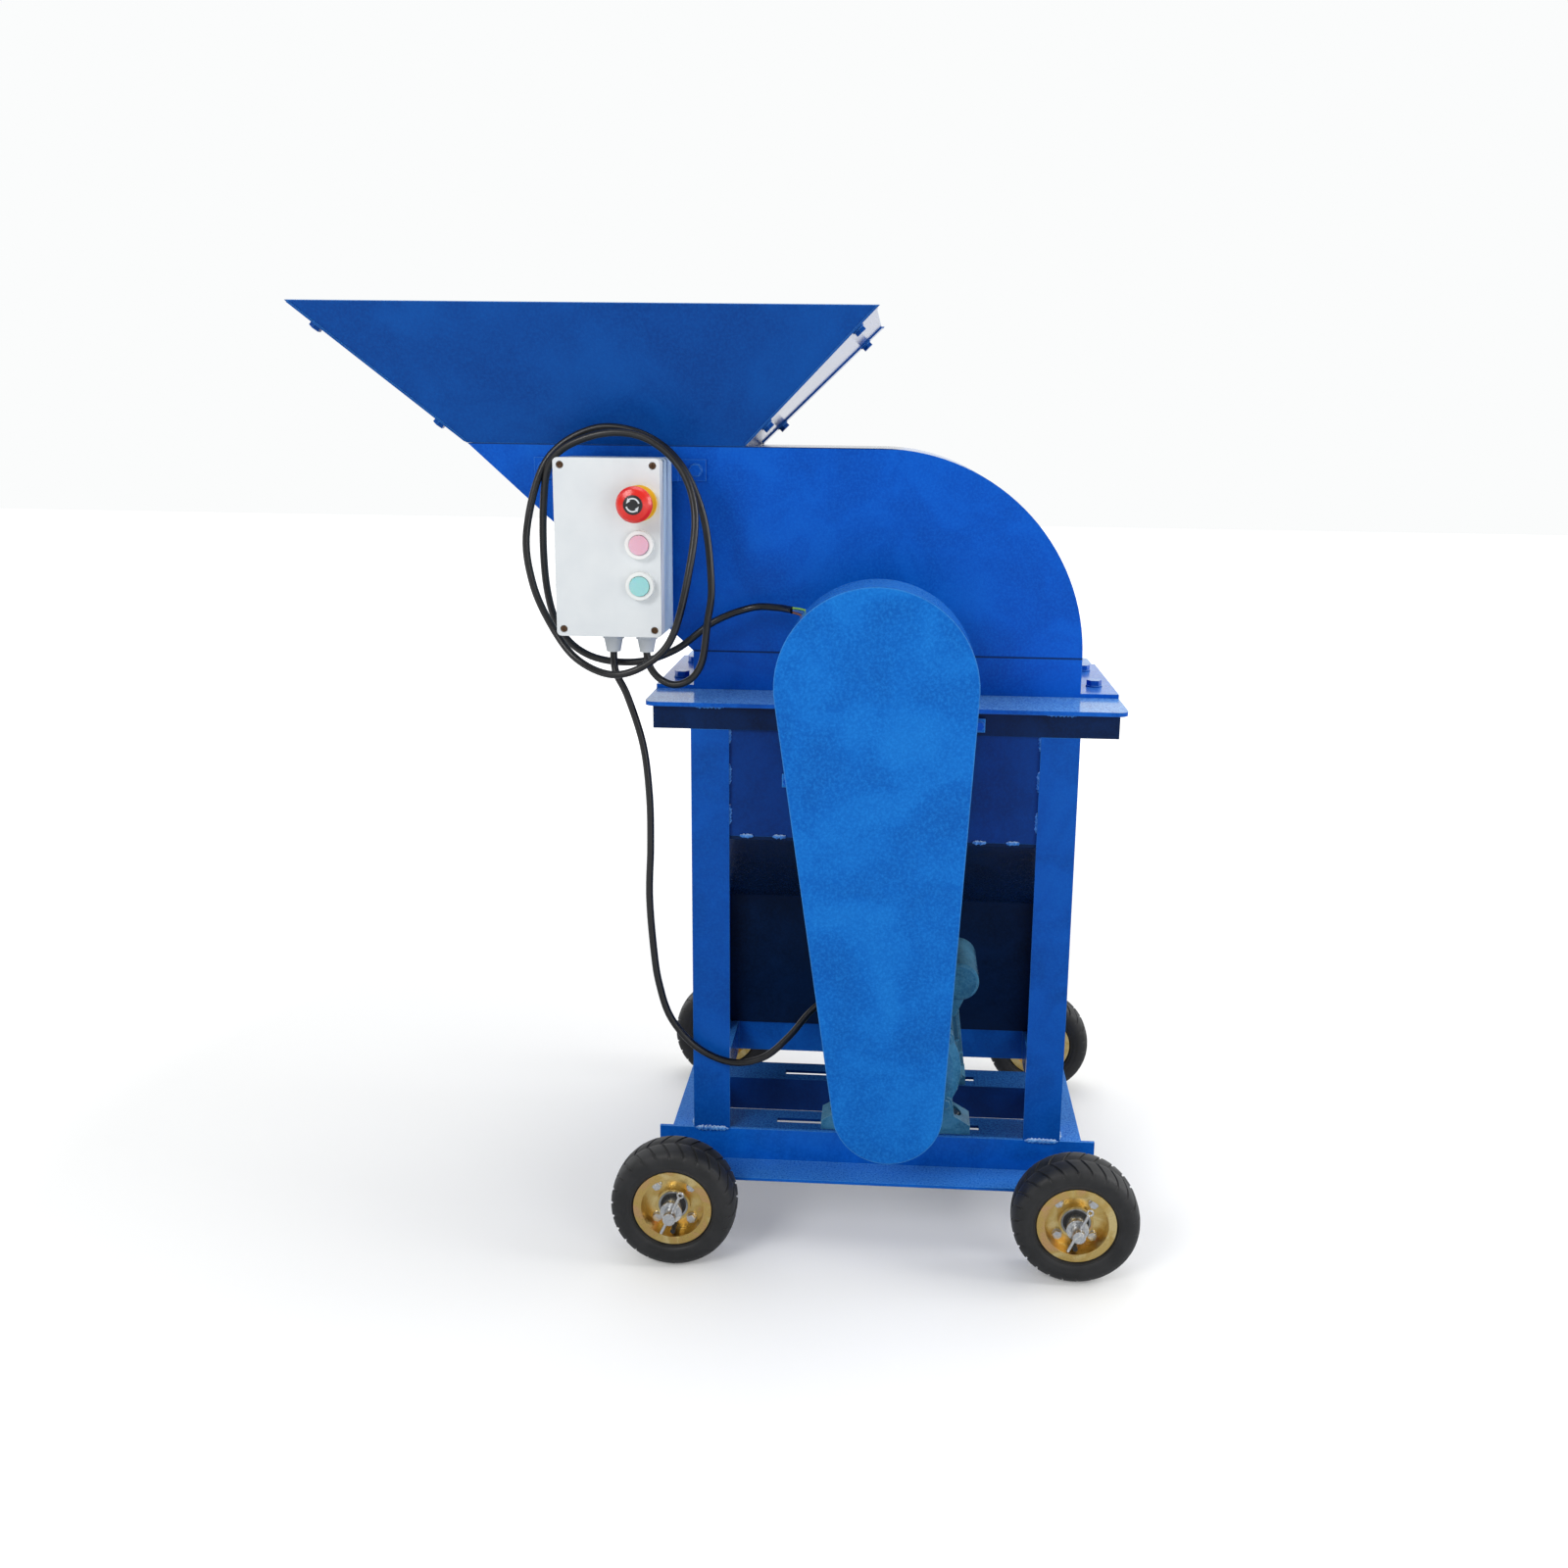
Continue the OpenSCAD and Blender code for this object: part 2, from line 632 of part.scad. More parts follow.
module hopper_front_plate() {
    color(blue) mill() difference() {
        union() {
            front_slope() trapezoid(mouth_x0 - seam_reach, mouth_x1 + seam_reach,
                                    -flare_left, flare_right, lean_side);
            left_slope() fold_strip(-seat_y0, flare_side, lean_left, -1);
            right_slope() fold_strip(seat_y0, -flare_side, lean_right, 1);
        }
        left_slope() hopper_hole(-seat_y0, flare_side, lean_left, -1);
        right_slope() hopper_hole(seat_y0, -flare_side, lean_right, 1);
    }
}
module hopper_rear_plate() {
    color(blue) mill() difference() {
        union() {
            rear_slope() trapezoid(-mouth_x1 - seam_reach, -mouth_x0 + seam_reach,
                                   -flare_right, flare_left, lean_side);
            left_slope() fold_strip(-seat_y1, -flare_side, lean_left, 1);
            right_slope() fold_strip(seat_y1, flare_side, lean_right, -1);
        }
        left_slope() hopper_hole(-seat_y1, -flare_side, lean_left, 1);
        right_slope() hopper_hole(seat_y1, flare_side, lean_right, -1);
    }
}
module hopper_left_plate() {
    color(blue) mill() left_slope() difference() {
        trapezoid(-seat_y1 + seam_gap, -seat_y0 - seam_gap, -flare_side, flare_side, lean_left);
        hopper_hole(-seat_y0, flare_side, lean_left, -1);
        hopper_hole(-seat_y1, -flare_side, lean_left, 1);
    }
}
module hopper_right_plate() {
    color(blue) mill() right_slope() difference() {
        trapezoid(seat_y0 + seam_gap, seat_y1 - seam_gap, -flare_side, flare_side, lean_right);
        hopper_hole(seat_y0, -flare_side, lean_right, 1);
        hopper_hole(seat_y1, flare_side, lean_right, -1);
    }
}
module hopper_bolts() {
    color(blue) mill() {
        left_slope() {
            at_hopper_bolts(-seat_y0, flare_side, lean_left, -1) bolt(8, 2 * sheet_t);
            at_hopper_bolts(-seat_y1, -flare_side, lean_left, 1) bolt(8, 2 * sheet_t);
        }
        right_slope() {
            at_hopper_bolts(seat_y0, -flare_side, lean_right, 1) bolt(8, 2 * sheet_t);
            at_hopper_bolts(seat_y1, flare_side, lean_right, -1) bolt(8, 2 * sheet_t);
        }
    }
}

// ---- Rotor ---------------------------------------------------------------------------------

shaft_y0 = guard_front + 12;
shaft_y1 = block_y[1] + 24;
function disc_y(k) = rotor_y + (k - (disc_count - 1) / 2) * disc_pitch;
function pin_at(k) = [rotor_x, rotor_z] + pin_circle_r * dir(45 + 90 * k);

module rotor_shaft() {
    color(steel) mill() rod_y(rotor_x, rotor_z, shaft_y0, shaft_y1, shaft_r);
}
module rotor_discs() {
    color(steel) mill() difference() {
        union() {
            for (k = [0 : disc_count - 1])
                rod_y(rotor_x, rotor_z, disc_y(k) - disc_t / 2, disc_y(k) + disc_t / 2, disc_r);
            rod_y(rotor_x, rotor_z, disc_y(0) - 10, disc_y(disc_count - 1) + 10, hub_r);
        }
        rod_y(rotor_x, rotor_z, disc_y(0) - 20, disc_y(disc_count - 1) + 20, shaft_r + 0.03);
        for (k = [0 : 3]) rod_y(pin_at(k).x, pin_at(k).y, disc_y(0) - 20, disc_y(disc_count - 1) + 20,
                                pin_r + 0.05);
    }
}
module hammer_pins() {
    y0 = disc_y(0) - disc_t / 2;
    y1 = disc_y(disc_count - 1) + disc_t / 2;
    color(steel) mill() for (k = [0 : 3]) {
        rod_y(pin_at(k).x, pin_at(k).y, y0 - 4, y1 + 5, pin_r);
        rod_y(pin_at(k).x, pin_at(k).y, y0 - 6, y0 - 0.1, pin_r + 4);
        tube_y(pin_at(k).x, pin_at(k).y, y1 + 0.1, y1 + 4, pin_r + 4, pin_r + 0.05);
    }
}
module rotor_pulley() { color("#6d7073") mill() pulley(rotor_x, rotor_z, rotor_pitch_d / 2, shaft_r, 30); }

module hammer_row(k) {
    offset_y = k % 2 == 0 ? stagger : -stagger;
    color(steel) mill() for (i = [0 : disc_count - 2]) {
        y = disc_y(i) + disc_pitch / 2 + offset_y;
        translate([pin_at(k).x, 0, pin_at(k).y]) along_y(y - hammer_t / 2, y + hammer_t / 2)
            difference() {
                translate([-hammer_w / 2, -hammer_l]) square([hammer_w, hammer_l + hammer_tail]);
                circle(pin_r + run_gap);
            }
    }
}

// ---- Drive ---------------------------------------------------------------------------------

// Pulley with a groove for each belt; the hub is as wide as the rim
module pulley(x, z, pitch_r, bore, hub) {
    top = pitch_r + 3;
    low = pitch_r - belt_h + 2.6;
    y0 = belt_y[0] - 10;
    y1 = belt_y[1] + 10;
    turned_y(x, z) difference() {
        translate([bore + 0.05, y0]) square([top - bore - 0.05, y1 - y0]);
        for (y = belt_y) polygon([[low, y - belt_w / 2 - 0.5], [top + 1, y - belt_w / 2 - 1.8],
                                  [top + 1, y + belt_w / 2 + 1.8], [low, y + belt_w / 2 + 0.5]]);
        if (pitch_r > 2 * hub) for (side = [[y0 - 1, y0 + 8], [y1 - 8, y1 + 1]])
            translate([hub, side[0]]) square([low - 8 - hub, side[1] - side[0]]);
    }
}
// Points round a belt that runs at radius r1 about the rotor and r2 about the motor
function belt_line(r1, r2, n = 28) =
    let (a = [rotor_x, rotor_z], b = [motor_x, motor_z], base = atan2(b.y - a.y, b.x - a.x),
         lean = acos((r1 - r2) / norm(b - a)))
    concat([for (i = [0 : n]) a + r1 * dir(base + lean + i * (360 - 2 * lean) / n)],
           [for (i = [0 : n]) b + r2 * dir(base - lean + i * 2 * lean / n)]);
module drive_belts() {
    top = rotor_pitch_d / 2 + 3;
    low = motor_pitch_d / 2 + 3;
    inner = belt_h - 0.2;
    color(black_rubber) mill() for (y = belt_y) along_y(y - belt_w / 2, y + belt_w / 2) difference() {
        polygon(belt_line(top, low));
        polygon(belt_line(top - inner, low - inner));
    }
}

// Tabs that hold the guard: the left one on the skirt, the right one on the top ring
tab_z = [band_z - 60, band_z + band_h / 2 - 1];
tab_t = 4;
tab_reach = 15;
// X of the guard's side at height z; s is -1 on the left and 1 on the right
function guard_side(z, s) =
    let (base = atan2(guard_low.y - guard_top.y, guard_low.x - guard_top.x),
         lean = acos((guard_top_r - guard_low_r) / norm(guard_low - guard_top)),
         a = guard_top + guard_top_r * dir(base + s * lean),
         b = guard_low + guard_low_r * dir(base + s * lean))
    a.x + (b.x - a.x) * (z - a.y) / (b.y - a.y);
tab_side = [guard_side(tab_z[0], -1), guard_side(tab_z[1], 1)];
tab_x = [tab_side[0] - 8.5, tab_side[1] + 8.5];
tab_grip = [3, iron_t + 3];
function tab_back(k) = k == 0 ? -(leg_y - iron_t) : -leg_y;
module at_tab_bolts() {
    for (k = [0, 1]) translate([tab_x[k], tab_back(k) - tab_t, tab_z[k]]) rotate([90, 0, 0])
        children();
}
module belt_guard() {
    color(blue) mill() difference() {
        union() {
            difference() {
                along_y(guard_front, guard_back) loop(guard_top, guard_top_r, guard_low, guard_low_r);
                along_y(guard_front + guard_t, guard_back + 1)
                    loop(guard_top, guard_top_r - guard_t, guard_low, guard_low_r - guard_t);
            }
            for (k = [0, 1]) translate([tab_side[k], 0, tab_z[k]]) mirror([1 - k, 0, 0]) {
                block([-1.6, tab_back(k) - tab_t, -8], [tab_reach, tab_back(k), 8]);
                block([-1.6, guard_back - 17, -8], [1.8, tab_back(k) - 1, 8]);
            }
        }
        at_tab_bolts() bolt_hole(6, tab_t + iron_t);
    }
}

module pillow_blocks() {
    color(deep_blue) mill() for (y = block_y) difference() {
        union() {
            block([rotor_x - block_l / 2, y - block_w / 2, plate_top],
                  [rotor_x + block_l / 2, y + block_w / 2, plate_top + block_base_h]);
            rod_y(rotor_x, rotor_z, y - 14, y + 14, 35.5);
        }
        rod_y(rotor_x, rotor_z, y - 20, y + 20, insert_r);
        block([rotor_x - block_l, y - 20, plate_top - 9], [rotor_x + block_l, y + 20, plate_top]);
        for (x = [-block_bolt_x, block_bolt_x]) translate([rotor_x + x, y, plate_top + block_base_h])
            bolt_hole(10, block_base_h + plate_t);
    }
}
module bearing_inserts() {
    color(steel) mill() for (y = block_y) tube_y(rotor_x, rotor_z, y - 17, y + 17, insert_r - 0.05,
                                                shaft_r + 0.05);
}

// Motor
module foot_section() {
    difference() {
        union() {
            circle(motor_r - 8);
            polygon([[-92, -motor_axis_h], [-50, -motor_axis_h], [-44, -motor_axis_h + foot_h],
                     [44, -motor_axis_h + foot_h], [50, -motor_axis_h], [92, -motor_axis_h],
                     [92, -motor_axis_h + foot_h], [72, -motor_axis_h + foot_h + 12], [66, -20],
                     [-66, -20], [-72, -motor_axis_h + foot_h + 12], [-92, -motor_axis_h + foot_h]]);
        }
        circle(motor_r - 16);
    }
}
module motor_body() {
    fin_w = 2.5;
    color(motor_green) mill() difference() {
        union() {
            tube_y(motor_x, motor_z, body_y[0], body_y[1], motor_r - 6, motor_r - 16);
            for (a = [0 : 12 : 359]) if (a < 205 || a > 335) rotate_about(a)
                block([motor_r - 8, body_y[0] + 6, -fin_w / 2], [motor_r, body_y[1] - 6, fin_w / 2]);
            for (y = motor_bolt_y) along_y(y - 18, y + 18) translate([motor_x, motor_z]) foot_section();
        }
        for (x = [-motor_bolt_x, motor_bolt_x]) for (y = motor_bolt_y)
            translate([motor_x + x, y, rail_top + foot_h]) {
                bolt_hole(10, foot_h);
                cylinder(r = 11.5, h = 30);
            }
    }
}
module motor_end_shields() {
    r = motor_r - 4;
    front = body_y[0];
    lug_a = [35, 145, 215, 325];
    lug_d = 12;
    color(motor_green) mill() {
        difference() {
            union() {
                turned_y(motor_x, motor_z) polygon([[12, front], [r, front], [r, front - 8],
                    [r - 10, front - 13], [40, front - 15], [34, front - 20], [12, front - 20]]);
                for (a = lug_a) rotate_about(a) rod_y(r - 4, 0, front - lug_d, front, 8);
            }
            rod_y(motor_x, motor_z, front - 25, front + 1, motor_shaft_r + 0.05);
        }
        difference() {
            rod_y(motor_x, motor_z, body_y[1], body_y[1] + 16, r);
            rod_y(motor_x, motor_z, body_y[1] - 1, body_y[1] + 17, motor_shaft_r + 0.05);
        }
        for (a = lug_a) rotate_about(a) translate([r - 4, front - lug_d, 0])
            rotate([90, 0, 0]) rotate(15) hex(6, 3.5);
    }
}
module rotate_about(a) { translate([motor_x, 0, motor_z]) rotate([0, -a, 0]) children(); }
module motor_fan_cowl() {
    y0 = body_y[1] + 16;
    y1 = leg_y - iron_t - 50;
    color(motor_green) mill() difference() {
        rod_y(motor_x, motor_z, y0, y1, motor_r - 2);
        rod_y(motor_x, motor_z, y0 - 1, y1 - 2, motor_r - 4);
        for (k = [-4 : 4]) block([motor_x - 52, y1 - 4, motor_z + k * 12 - 3],
                                 [motor_x + 52, y1 + 1, motor_z + k * 12 + 3]);
    }
}
module motor_capacitor() {
    r = 24;
    x = motor_x + 75;
    z = motor_z + 96;
    color(motor_green) mill() {
        difference() {
            union() {
                turned_y(x, z) polygon([[0, -114], [r - 3, -114], [r, -111], [r, -27], [r - 3, -24], [0, -24]]);
                along_y(-100, -40) polygon([[x - 34, z - 60], [x - 8, z - 60], [x + 14, z - 12], [x - 20, z - 8]]);
            }
            rod_y(motor_x, motor_z, -120, 0, motor_r + seat_gap);
        }
    }
}
module motor_terminal_box() {
    color(motor_green) mill() difference() {
        block([motor_x - 84, -128, motor_z + 46], [motor_x - 30, -60, motor_z + 106]);
        rod_y(motor_x, motor_z, -130, 0, motor_r + seat_gap);
        block([motor_x - 80, -124, motor_z + 84], [motor_x - 34, -64, motor_z + 103]);
    }
}
module motor_shaft() {
    color(steel) mill() {
        rod_y(motor_x, motor_z, shaft_y0, body_y[1] + 40, motor_shaft_r);
        rod_y(motor_x, motor_z, body_y[0] + 30, body_y[1] - 30, motor_r - 30);
        difference() {
            rod_y(motor_x, motor_z, body_y[1] + 22, body_y[1] + 30, motor_r - 16);
            for (a = [0 : 60 : 300]) rotate_about(a) rod_y(46, 0, body_y[1], body_y[1] + 50, 12);
        }
    }
}
module motor_pulley() {
    color("#6d7073") mill() pulley(motor_x, motor_z, motor_pitch_d / 2, motor_shaft_r, 30);
}

// ---- Fasteners -----------------------------------------------------------------------------

module motor_bolts() {
    color(zinc) mill() for (x = [-motor_bolt_x, motor_bolt_x]) for (y = motor_bolt_y)
        translate([motor_x + x, y, rail_top + foot_h]) bolt(10, foot_h + iron_t);
}
module housing_bolts() {
    color(blue) mill() {
        at_foot_bolts() bolt(10, foot_t + plate_t + iron_t);
        at_block_bolts() bolt(10, block_base_h + plate_t);
    }
}
module small_bolts() {
    color(blue) mill() {
        for (x = strap_bolt_x) translate([x, front_y - strap_t, strap_z]) rotate([90, 0, 0])
            bolt(8, strap_t + wall_t);
        for (k = [0, 1]) translate([tab_x[k], tab_back(k) - tab_t, tab_z[k]]) rotate([90, 0, 0])
            bolt(6, tab_t + tab_grip[k]);
    }
}

// ---- Switch box ----------------------------------------------------------------------------

lid_post = [box_w / 2 - 8, box_h / 2 - 8];
module at_lid_screws() {
    for (x = [-lid_post.x, lid_post.x]) for (z = [-lid_post.y, lid_post.y])
        translate([box_x + x, box_front, (box_z0 + box_z1) / 2 + z]) children();
}
module box_outline(inset) {
    rounded([box_x - box_w / 2 + inset, box_z0 + inset], [box_x + box_w / 2 - inset, box_z1 - inset],
            box_corner - inset / 2);
}
module box_base() {
    color(pale_grey) mill() difference() {
        union() {
            difference() {
                along_y(box_split, box_back) box_outline(0);
                along_y(box_split - 1, box_back - box_wall) box_outline(box_wall);
            }
            at_lid_screws() rod_y(0, 0, box_split - box_front, box_back - box_front - 1, 5.5);
        }
        at_lid_screws() rod_y(0, 0, -1, 40, 2.1);
        for (x = gland_x) translate([x, gland_y, box_z0 - 1]) cylinder(r = 8.1, h = box_wall + 2);
    }
}
module box_lid() {
    color(pale_grey) mill() difference() {
        along_y(box_front, box_split) box_outline(0);
        difference() {
            along_y(box_front + box_wall, box_split + 1) box_outline(box_wall);
            at_lid_screws() rod_y(0, 0, 0, box_split - box_front + 2, 5.5);
        }
        at_lid_screws() rod_y(0, 0, -1, 40, 2.1);
        at_lid_screws() rod_y(0, 0, -1, 2.2, 4.2);
        for (z = button_z) rod_y(button_x, z, box_front - 1, box_split, barrel_r + 0.15);
    }
}
module box_screws() {
    color(zinc) mill() at_lid_screws() {
        difference() {
            rod_y(0, 0, 0.4, 2.2, 3.6);
            block([-0.5, -0.5, -2.4], [0.5, 1.4, 2.4]);
            block([-2.4, -0.5, -0.5], [2.4, 1.4, 0.5]);
        }
        rod_y(0, 0, 2, 32, 1.9);
    }
}
strap_t = 3;
strap_h = 25;
module box_strap() {
    z0 = strap_z - strap_h / 2;
    z1 = strap_z + strap_h / 2;
    outer = [strap_bolt_x[0] - 12, strap_bolt_x[1] + 12];
    inner = [box_x - box_w / 2 - 8, box_x + box_w / 2 + 8];
    color(blue) mill() difference() {
        union() {
            block([inner[0], box_back, z0], [inner[1], box_back + strap_t, z1]);
            block([outer[0], front_y - strap_t, z0], [inner[0] + strap_t, front_y, z1]);
            block([inner[1] - strap_t, front_y - strap_t, z0], [outer[1], front_y, z1]);
            block([inner[0], box_back, z0], [inner[0] + strap_t, front_y, z1]);
            block([inner[1] - strap_t, box_back, z0], [inner[1], front_y, z1]);
        }
        for (x = strap_bolt_x) translate([x, front_y - strap_t, strap_z]) rotate([90, 0, 0])
            bolt_hole(8, strap_t);
    }
}
module cable_glands() {
    color("#b9bcbf") mill() for (x = gland_x) translate([x, gland_y, box_z0]) difference() {
        union() {
            cylinder(r = 8, h = box_wall + 6);
            translate([0, 0, -8]) cylinder(r = 12.5, h = 8, $fn = 6);
            translate([0, 0, -gland_h]) cylinder(r1 = 8, r2 = 11, h = gland_h - 7);
        }
        translate([0, 0, -gland_h - 1]) cylinder(r = lead_r + 0.4, h = 50);
    }
}
module switch_collars() {
    color("#f2f2ef") mill() for (k = [0 : 2]) difference() {
        union() {
            rod_y(button_x, button_z[k], box_front - (k == 2 ? 5 : 8), box_front, k == 2 ? 20 : collar_r);
            rod_y(button_x, button_z[k], box_front, box_front + 30, barrel_r);
            rod_y(button_x, button_z[k], box_front + box_wall, box_front + 9, barrel_r + 3);
            block([button_x - 13, box_front + 22, button_z[k] - 18],
                  [button_x + 13, box_front + 58, button_z[k] + 18]);
        }
        rod_y(button_x, button_z[k], box_front - 20, box_front + 40, stem_r + 0.1);
        if (k < 2) rod_y(button_x, button_z[k], box_front - 20, box_front - 2, barrel_r + 0.4);
    }
}
module push_button(k, tint) {
    color(tint) mill() {
        rod_y(button_x, button_z[k], box_front - 10, box_front - 5.2, barrel_r);
        rod_y(button_x, button_z[k], box_front - 6, box_front + 30, stem_r);
    }
}
module stop_button() { push_button(1, "#dba0b8"); }
module start_button() { push_button(0, "#8fd0c8"); }
module emergency_stop_stem() {
    color("#c8cacc") mill() rod_y(button_x, button_z[2], box_front - 30, box_front + 30, stem_r);
}
module emergency_stop_head() {
    color("#e2231f") mill() turned_y(button_x, button_z[2]) polygon([
        [0, box_front - 38], [stop_head_r - 9, box_front - 37.4], [stop_head_r - 3, box_front - 35],
        [stop_head_r, box_front - 31], [stop_head_r, box_front - 28], [stop_head_r - 2, box_front - 26],
        [12, box_front - 25], [10, box_front - 12], [stem_r + 0.1, box_front - 12],
        [stem_r + 0.1, box_front - 30.1], [0, box_front - 30.1]]);
}

// ---- Leads ---------------------------------------------------------------------------------

module supply_lead() {
    color(black_rubber) mill() {
        tube(smooth(supply_route, 2), lead_r);
        for (route = core_routes) tube(route, core_r, 6);
    }
}
module motor_lead() { color(black_rubber) mill() tube(motor_route, lead_r); }

base_rails();
legs();
top_frame();
top_plate();
motor_rails();
axles();
axle_retainers();
discharge_skirt();
discharge_chute();
lower_housing();
upper_housing();
screen();
hopper_front_plate();
hopper_rear_plate();
hopper_left_plate();
hopper_right_plate();
belt_guard();
drive_belts();
pillow_blocks();
bearing_inserts();
motor_body();
motor_end_shields();
motor_fan_cowl();
motor_capacitor();
motor_terminal_box();
motor_bolts();
housing_bolts();
hopper_bolts();
small_bolts();
box_base();
box_lid();
box_screws();
box_strap();
cable_glands();
switch_collars();
supply_lead();
motor_lead();
rotor_shaft();
rotor_discs();
hammer_pins();
rotor_pulley();
hammer_row(0);  // hammer_row_1
hammer_row(1);  // hammer_row_2
hammer_row(2);  // hammer_row_3
hammer_row(3);  // hammer_row_4
motor_shaft();
motor_pulley();
emergency_stop_stem();
emergency_stop_head();
stop_button();
start_button();
tyre(-1, -1);  // front_left_tyre
tyre(1, -1);  // front_right_tyre
tyre(-1, 1);  // rear_left_tyre
tyre(1, 1);  // rear_right_tyre
rim(-1, -1);  // front_left_rim
rim(1, -1);  // front_right_rim
rim(-1, 1);  // rear_left_rim
rim(1, 1);  // rear_right_rim
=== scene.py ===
import math
import random

import bpy
from mathutils import Matrix, Vector


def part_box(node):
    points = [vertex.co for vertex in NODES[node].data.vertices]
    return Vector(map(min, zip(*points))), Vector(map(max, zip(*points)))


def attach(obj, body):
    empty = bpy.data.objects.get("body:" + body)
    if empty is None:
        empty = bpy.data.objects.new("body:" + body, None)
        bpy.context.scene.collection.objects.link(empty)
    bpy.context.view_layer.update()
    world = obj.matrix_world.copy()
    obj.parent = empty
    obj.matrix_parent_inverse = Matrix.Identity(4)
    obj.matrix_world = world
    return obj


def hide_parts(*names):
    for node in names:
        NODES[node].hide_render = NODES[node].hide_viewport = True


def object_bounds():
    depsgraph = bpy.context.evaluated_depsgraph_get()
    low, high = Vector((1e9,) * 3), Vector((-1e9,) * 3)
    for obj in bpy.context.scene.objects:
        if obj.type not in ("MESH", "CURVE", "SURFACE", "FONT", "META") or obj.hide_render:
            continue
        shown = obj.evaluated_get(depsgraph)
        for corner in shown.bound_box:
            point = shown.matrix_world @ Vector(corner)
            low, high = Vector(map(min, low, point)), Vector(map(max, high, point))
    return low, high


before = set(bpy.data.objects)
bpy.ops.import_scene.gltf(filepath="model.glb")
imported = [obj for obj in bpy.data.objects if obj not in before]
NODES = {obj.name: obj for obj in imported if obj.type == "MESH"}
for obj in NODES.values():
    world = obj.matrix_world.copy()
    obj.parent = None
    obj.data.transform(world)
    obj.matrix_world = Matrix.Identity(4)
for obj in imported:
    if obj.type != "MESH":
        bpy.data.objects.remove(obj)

CAD_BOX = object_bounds()
MM = 0.001
COLLECTION = bpy.context.scene.collection


def middle(node_name):
    low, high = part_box(node_name)
    return (low + high) / 2


# ---- Camera ------------------------------------------------------------------------------------

CAMERA_PLACE = Vector((0.2011, -1.6305, 0.9823))
CAMERA_YAW = -0.0511
CAMERA_PITCH = 0.1999
CAMERA_ROLL = -0.0135
SENSOR_WIDTH = 36
LENS_LENGTH = 30.09
LENS_SHIFT = (-0.0315, -0.0586)


def make_camera():
    """A camera at standing height, square to the belt side and looking a little down."""
    data = bpy.data.cameras.new("camera")
    camera = bpy.data.objects.new("camera", data)
    COLLECTION.objects.link(camera)
    forward = Vector((math.sin(CAMERA_YAW) * math.cos(CAMERA_PITCH),
                      math.cos(CAMERA_YAW) * math.cos(CAMERA_PITCH), -math.sin(CAMERA_PITCH)))
    level = Vector((math.cos(CAMERA_YAW), -math.sin(CAMERA_YAW), 0))
    down = forward.cross(level)
    right = math.cos(CAMERA_ROLL) * level + math.sin(CAMERA_ROLL) * down
    up = math.sin(CAMERA_ROLL) * level - math.cos(CAMERA_ROLL) * down
    turn = Matrix((right, up, -forward)).transposed().to_4x4()
    camera.matrix_world = Matrix.Translation(CAMERA_PLACE) @ turn
    data.sensor_width = SENSOR_WIDTH
    data.lens = LENS_LENGTH
    data.shift_x, data.shift_y = LENS_SHIFT
    bpy.context.scene.camera = camera


# ---- Leads -------------------------------------------------------------------------------------

LEAD_WIDTH = 8.5 * MM
CORE_WIDTH = 2.6 * MM
LEAD_STEPS = 8
# Middle of the supply lead, from its gland, twice round the box and along the housing
SUPPLY_ROUTE = [
    (-0.094, -0.135, 0.732), (-0.094, -0.135, 0.718), (-0.089, -0.137, 0.702),
    (-0.077, -0.140, 0.690), (-0.060, -0.144, 0.685), (-0.043, -0.146, 0.691),
    (-0.031, -0.147, 0.705), (-0.025, -0.148, 0.724), (-0.021, -0.146, 0.760),
    (-0.017, -0.141, 0.802), (-0.027, -0.133, 0.880), (-0.055, -0.128, 0.940),
    (-0.099, -0.126, 0.972), (-0.155, -0.126, 0.976), (-0.207, -0.132, 0.940),
    (-0.230, -0.140, 0.862), (-0.225, -0.142, 0.802), (-0.203, -0.146, 0.752),
    (-0.171, -0.160, 0.716), (-0.125, -0.184, 0.703), (-0.085, -0.189, 0.716),
    (-0.055, -0.187, 0.748), (-0.037, -0.180, 0.818), (-0.032, -0.163, 0.886),
    (-0.051, -0.152, 0.936), (-0.093, -0.146, 0.968), (-0.145, -0.144, 0.970),
    (-0.197, -0.138, 0.944), (-0.213, -0.128, 0.890), (-0.215, -0.120, 0.800),
    (-0.201, -0.114, 0.742), (-0.165, -0.116, 0.712), (-0.111, -0.116, 0.706),
    (-0.063, -0.116, 0.722), (-0.019, -0.112, 0.755), (0.025, -0.107, 0.772),
    (0.057, -0.122, 0.775), (0.077, -0.142, 0.775)]
# Middle of the motor lead, from its gland down past the stand and up to the motor
MOTOR_ROUTE = [
    (-0.133, -0.135, 0.732), (-0.133, -0.135, 0.710), (-0.129, -0.139, 0.694),
    (-0.115, -0.147, 0.670), (-0.096, -0.156, 0.615), (-0.088, -0.163, 0.555),
    (-0.087, -0.166, 0.495), (-0.089, -0.167, 0.434), (-0.085, -0.167, 0.368),
    (-0.079, -0.167, 0.323), (-0.065, -0.166, 0.278), (-0.034, -0.164, 0.240),
    (0.008, -0.162, 0.221), (0.046, -0.156, 0.226), (0.075, -0.141, 0.246),
    (0.099, -0.122, 0.270), (0.118, -0.112, 0.284)]
# The three cores fan out from where the sheath ends
CORE_ROUTES = [
    [(0.077, -0.142, 0.775 + 0.0026 * k), (0.091, -0.146, 0.772 + 0.004 * k),
     (0.105, -0.148, 0.762 + 0.008 * k)] for k in (-1, 0, 1)]


